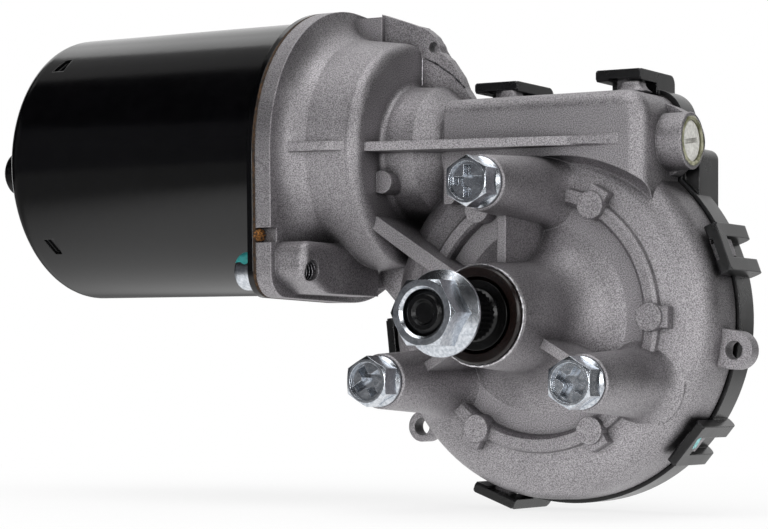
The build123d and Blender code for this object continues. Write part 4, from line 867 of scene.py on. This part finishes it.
# Gasket card squeezed into the flange's notch: a lumpy tongue, coarse lumps with finer on them
TONGUE_ROOT = Vector((-62.1, 4.0, 19.5))
TONGUE_LENGTH = 0.9
TONGUE_HALF_WIDTH = 1.9
TONGUE_HALF_HEIGHT = 1.55
TONGUE_LEVELS = (0.0, 0.15, 0.3, 0.45, 0.6, 0.72, 0.83, 0.92, 1.0)
TONGUE_BLUNTNESS = 2.5
TONGUE_TIP = 0.02
LUMP_MM = 0.42
LUMP_RISE = Vector((0.7, 0.3, 0.3))
FINE_LUMP_MM = 0.2
FINE_LUMP_RISE = Vector((0.5, 0.2, 0.2))
tongue_rings = []
for level in TONGUE_LEVELS:
    spread = math.sqrt(max(TONGUE_TIP, 1 - level ** TONGUE_BLUNTNESS))
    ring = []
    for turn in angles_round(10):
        point = TONGUE_ROOT + Vector(
            (
                TONGUE_LENGTH * level,
                TONGUE_HALF_WIDTH * spread * math.cos(turn),
                TONGUE_HALF_HEIGHT * spread * math.sin(turn),
            )
        )
        lumps = LUMP_RISE * uneven(point, LUMP_MM) + FINE_LUMP_RISE * uneven(point, FINE_LUMP_MM)
        ring.append(point + lumps)
    tongue_rings.append(ring)
ring_skin("gasket_tongue", tongue_rings, "torn_card")

DAB_THICK = 0.16
DAB_SUNK = 0.05
DAB_UNDERSIDE = 0.12
# How fast a dab thickens from its rim, and how ragged the rim is
DAB_SWELL = 2.2
DAB_RAGGED = 0.5
DAB_RAG_MM = 0.9


def paint_dab(name, place_on, rows, columns, piece_finish):
    """A dab of paint, whose rim sinks into the part.

    place_on gives the part's point and normal for two shares, along the dab and across it.
    """
    top_points = []
    under_points = []
    for i in range(rows + 1):
        for j in range(columns + 1):
            point, normal = place_on(i / rows, j / columns)
            from_rim = 2 * min(min(i, rows - i) / rows, min(j, columns - j) / columns)
            cover = min(1.0, DAB_SWELL * from_rim) + DAB_RAGGED * uneven(point, DAB_RAG_MM)
            thick = DAB_THICK * min(1.0, max(0.0, cover)) - DAB_SUNK
            top_points.append(point + normal * thick)
            under_points.append(point - normal * DAB_UNDERSIDE)
    row = columns + 1
    below = len(top_points)
    top = [
        (i * row + j, i * row + j + 1, (i + 1) * row + j + 1, (i + 1) * row + j)
        for i in range(rows)
        for j in range(columns)
    ]
    rim = list(range(columns))
    rim += [i * row + columns for i in range(rows)]
    rim += [rows * row + columns - j for j in range(columns)]
    rim += [(rows - i) * row for i in range(rows)]
    sides = [(a, b, b + below, a + below) for a, b in zip(rim, rim[1:] + rim[:1])]
    underside = [tuple(corner + below for corner in face) for face in top]
    housing_piece(name, top_points + under_points, top + sides + underside, piece_finish)


# Teal paint on the lower can screw's head, from its rim over the rounded edge.  The patch
# narrows towards the crown; its angles are in degrees.
HEAD_R = 4.6
HEAD_ROUND = 2.0
HEAD_RIM_X = -64.9
HEAD_SHOULDER_X = -67.8
CROWN_LEAN = math.radians(80)
PATCH_START = 84
PATCH_WIDTH = 84
PATCH_NARROWING = 18
# The share of the patch's length that lies on the head's side
SIDE_SHARE = 0.5


def on_screw_head(along, over):
    """Point and normal on the head: up its side first, then over the rounding."""
    turn = math.radians(PATCH_START + PATCH_WIDTH * over - PATCH_NARROWING * along * over)
    out = Vector((0, math.cos(turn), math.sin(turn)))
    up_side = min(1.0, along / SIDE_SHARE)
    lean = CROWN_LEAN * max(0.0, along - SIDE_SHARE) / (1 - SIDE_SHARE)
    x = HEAD_RIM_X + (HEAD_SHOULDER_X - HEAD_RIM_X) * up_side - HEAD_ROUND * math.sin(lean)
    r = HEAD_R - HEAD_ROUND * (1 - math.cos(lean))
    point = Vector((x, EAR_HOLE_Y, EAR_HOLE_Z)) + out * r
    return point, out * math.cos(lean) + Vector((-math.sin(lean), 0, 0))


paint_dab("screw_paint", on_screw_head, rows=16, columns=22, piece_finish="marking_paint")

# The same paint brushed across the cover's lower right loop
LOOP_NORMAL = Vector((0.77, 0, -0.64))
STREAK_START = Vector((34.4, 38.0, -29.75))
STREAK_RUN = Vector((2.45, -1.6, 2.95))
STREAK_WIDTH = 2.0
STREAK_ACROSS = Vector((0.32, 0.9, 0.38)) * STREAK_WIDTH


def on_loop(along, over):
    """Point and normal on the loop's outer face."""
    return STREAK_START + STREAK_RUN * along + STREAK_ACROSS * (over - 0.5), LOOP_NORMAL


paint_dab("clip_paint", on_loop, rows=18, columns=8, piece_finish="thin_paint")

# ---- camera, light and floor ----------------------------------------------------------------
CAMERA_PLACE = (0.26555, -0.46778, -0.01374)
CAMERA_RIGHT = Vector((0.8498, 0.5271, 0.0065)).normalized()
CAMERA_BACK = Vector((0.5268, -0.8487, -0.0462)).normalized()
CAMERA_UP = CAMERA_BACK.cross(CAMERA_RIGHT).normalized()
LENS_MM = 113.886
SENSOR_MM = 36.0
camera_data = bpy.data.cameras.new("camera")
camera_data.lens = LENS_MM
camera_data.sensor_width = SENSOR_MM
camera = put("camera", camera_data)
turned = Matrix((CAMERA_RIGHT, CAMERA_UP, CAMERA_BACK)).transposed().to_4x4()
camera.matrix_world = Matrix.Translation(CAMERA_PLACE) @ turned
bpy.context.scene.camera = camera
bpy.context.scene.view_settings.view_transform = "Standard"

MOTOR_MIDDLE = Vector((-0.04, 0.02, 0.02))


def softbox(name, place, size, watts):
    """A rectangular softbox that faces the motor.  Metres."""
    lamp = bpy.data.lights.new(name, "AREA")
    lamp.shape = "RECTANGLE"
    lamp.size, lamp.size_y = size
    lamp.energy = watts
    holder = put(name, lamp)
    holder.location = place
    holder.rotation_euler = (MOTOR_MIDDLE - Vector(place)).to_track_quat("-Z", "Y").to_euler()


softbox("softbox_over", place=(0.05, -0.2, 0.8), size=(0.8, 0.6), watts=3.6)
softbox("softbox_right", place=(0.8, -0.4, 0.15), size=(0.5, 0.5), watts=3.2)
softbox("softbox_front", place=(0.05, -0.95, 0.0), size=(0.5, 0.3), watts=4.2)
softbox("softbox_left", place=(-0.6, 0.2, 0.77), size=(0.6, 0.6), watts=0.3)

# The world lights the motor at AMBIENT, and shows itself as the white background
AMBIENT = 0.6
WHITE = 1.0
world = bpy.data.worlds.new("studio")
bpy.context.scene.world = world
world.use_nodes = True
sky = world.node_tree
sky_rays = add_node(sky, "ShaderNodeLightPath", {}, {})
seen = add_node(
    sky,
    "ShaderNodeMath",
    {"operation": "MAXIMUM"},
    {0: sky_rays.outputs["Is Camera Ray"], 1: sky_rays.outputs["Is Glossy Ray"]},
)
seen_through = add_node(
    sky,
    "ShaderNodeMath",
    {"operation": "MAXIMUM"},
    {0: seen.outputs["Value"], 1: sky_rays.outputs["Is Transmission Ray"]},
)
strength = add_node(
    sky,
    "ShaderNodeMapRange",
    {},
    {"Value": seen_through.outputs["Value"], "To Min": AMBIENT, "To Max": WHITE},
)
background = sky.nodes["Background"]
background.inputs["Color"].default_value = linear("#FFFFFF")
sky.links.new(strength.outputs["Result"], background.inputs["Strength"])

# White paper sweep.  It fades into the background away from the motor and keeps its shadow, and
# reflections see it white near the motor and dark further off, like a small light table.
FLOOR_GAP_MM = 0.2
FLOOR_Z = cad_bounds[0][2] - FLOOR_GAP_MM * MM
FLOOR_HALF = 3.0
PAPER_ROUGHNESS = 0.9
# Each fade: where it starts and ends, in metres from the origin, and its value there
SHADOW_FADE = (0.1, 0.32, 0.8, 1.0)
REFLECTION_FADE = (0.14, 0.31, 1.0, 0.2)
floor_mesh = bpy.data.meshes.new("floor")
floor_mesh.from_pydata(
    [(x * FLOOR_HALF, y * FLOOR_HALF, FLOOR_Z) for x, y in ((-1, -1), (1, -1), (1, 1), (-1, 1))],
    [],
    [(0, 1, 2, 3)],
)
paper = bpy.data.materials.new("paper_matt_white")
paper.use_nodes = True
sweep = paper.node_tree
paper_shader = sweep.nodes["Principled BSDF"]
paper_shader.inputs["Base Color"].default_value = linear("#FAFAFA")
paper_shader.inputs["Roughness"].default_value = PAPER_ROUGHNESS
paper_rays = add_node(sweep, "ShaderNodeLightPath", {}, {})
paper_place = add_node(sweep, "ShaderNodeNewGeometry", {}, {})
paper_distance = add_node(
    sweep, "ShaderNodeVectorMath", {"operation": "LENGTH"}, {0: paper_place.outputs["Position"]}
)
paper_fades = []
for near, far, near_value, far_value in (SHADOW_FADE, REFLECTION_FADE):
    fade = add_node(
        sweep,
        "ShaderNodeMapRange",
        {"interpolation_type": "SMOOTHSTEP"},
        {
            "Value": paper_distance.outputs["Value"],
            "From Min": near,
            "From Max": far,
            "To Min": near_value,
            "To Max": far_value,
        },
    )
    paper_fades.append(fade.outputs["Result"])
paper_seen = add_node(
    sweep,
    "ShaderNodeMath",
    {"operation": "MULTIPLY"},
    {0: paper_rays.outputs["Is Camera Ray"], 1: paper_fades[0]},
)
paper_share = add_node(
    sweep,
    "ShaderNodeMath",
    {"operation": "MAXIMUM"},
    {0: paper_seen.outputs["Value"], 1: paper_rays.outputs["Is Glossy Ray"]},
)
paper_light = add_node(
    sweep,
    "ShaderNodeMix",
    {"data_type": "FLOAT"},
    {"Factor": paper_rays.outputs["Is Glossy Ray"], "A": WHITE, "B": paper_fades[1]},
)
paper_glow = add_node(
    sweep, "ShaderNodeEmission", {}, {"Strength": paper_light.outputs["Result"]}
)
paper_mix = add_node(
    sweep,
    "ShaderNodeMixShader",
    {},
    {
        0: paper_share.outputs["Value"],
        1: paper_shader.outputs["BSDF"],
        2: paper_glow.outputs["Emission"],
    },
)
sweep.links.new(paper_mix.outputs["Shader"], sweep.nodes["Material Output"].inputs["Surface"])
floor_mesh.materials.append(paper)
put("floor", floor_mesh)

REFLECTOR_STEP = 10


def reflector(name, radius, azimuths, rises, material):
    """Part of a sphere round the motor, which only reflections see.

    azimuths and rises: first and last angle in degrees, azimuth 0 at -Y and 90 at +X.
    """
    turns = [math.radians(angle) for angle in range(azimuths[0], azimuths[1] + 1, REFLECTOR_STEP)]
    lifts = [math.radians(angle) for angle in range(rises[0], rises[1] + 1, REFLECTOR_STEP)]
    points = [
        Vector((math.sin(turn) * math.cos(lift), -math.cos(turn) * math.cos(lift), math.sin(lift)))
        * radius
        for turn in turns
        for lift in lifts
    ]
    row = len(lifts)
    faces = [
        (i * row + j, (i + 1) * row + j, (i + 1) * row + j + 1, i * row + j + 1)
        for i in range(len(turns) - 1)
        for j in range(row - 1)
    ]
    mesh = bpy.data.meshes.new(name)
    mesh.from_pydata(points, [], faces)
    mesh.materials.append(material)
    sheet = put(name, mesh)
    sheet.visible_camera = False
    sheet.visible_diffuse = False
    sheet.visible_shadow = False


# Black cloth behind the camera: gives bright metal and gloss their darks.  The weave is 0.5 mm,
# too fine to show in a reflection, so it is drawn at 4 mm.
reflector(
    "cloth",
    radius=1.3,
    azimuths=(-115, 155),
    rises=(-15, 85),
    material=finish(
        "cotton_black_woven", ("#050505", "#0A0A0A"), grain_mm=4.0, roughness=(0.9, 1.0)
    ),
)
# Grey card before the cloth: keeps the faces that look past the camera from going black.  The
# card's fibres are 0.1 mm, too fine to show in a reflection, so they are drawn at 6 mm.
reflector(
    "card",
    radius=1.25,
    azimuths=(-80, 20),
    rises=(-15, 25),
    material=finish(
        "card_grey_matt", ("#505054", "#5A5A5E"), grain_mm=6.0, roughness=(0.9, 1.0)
    ),
)
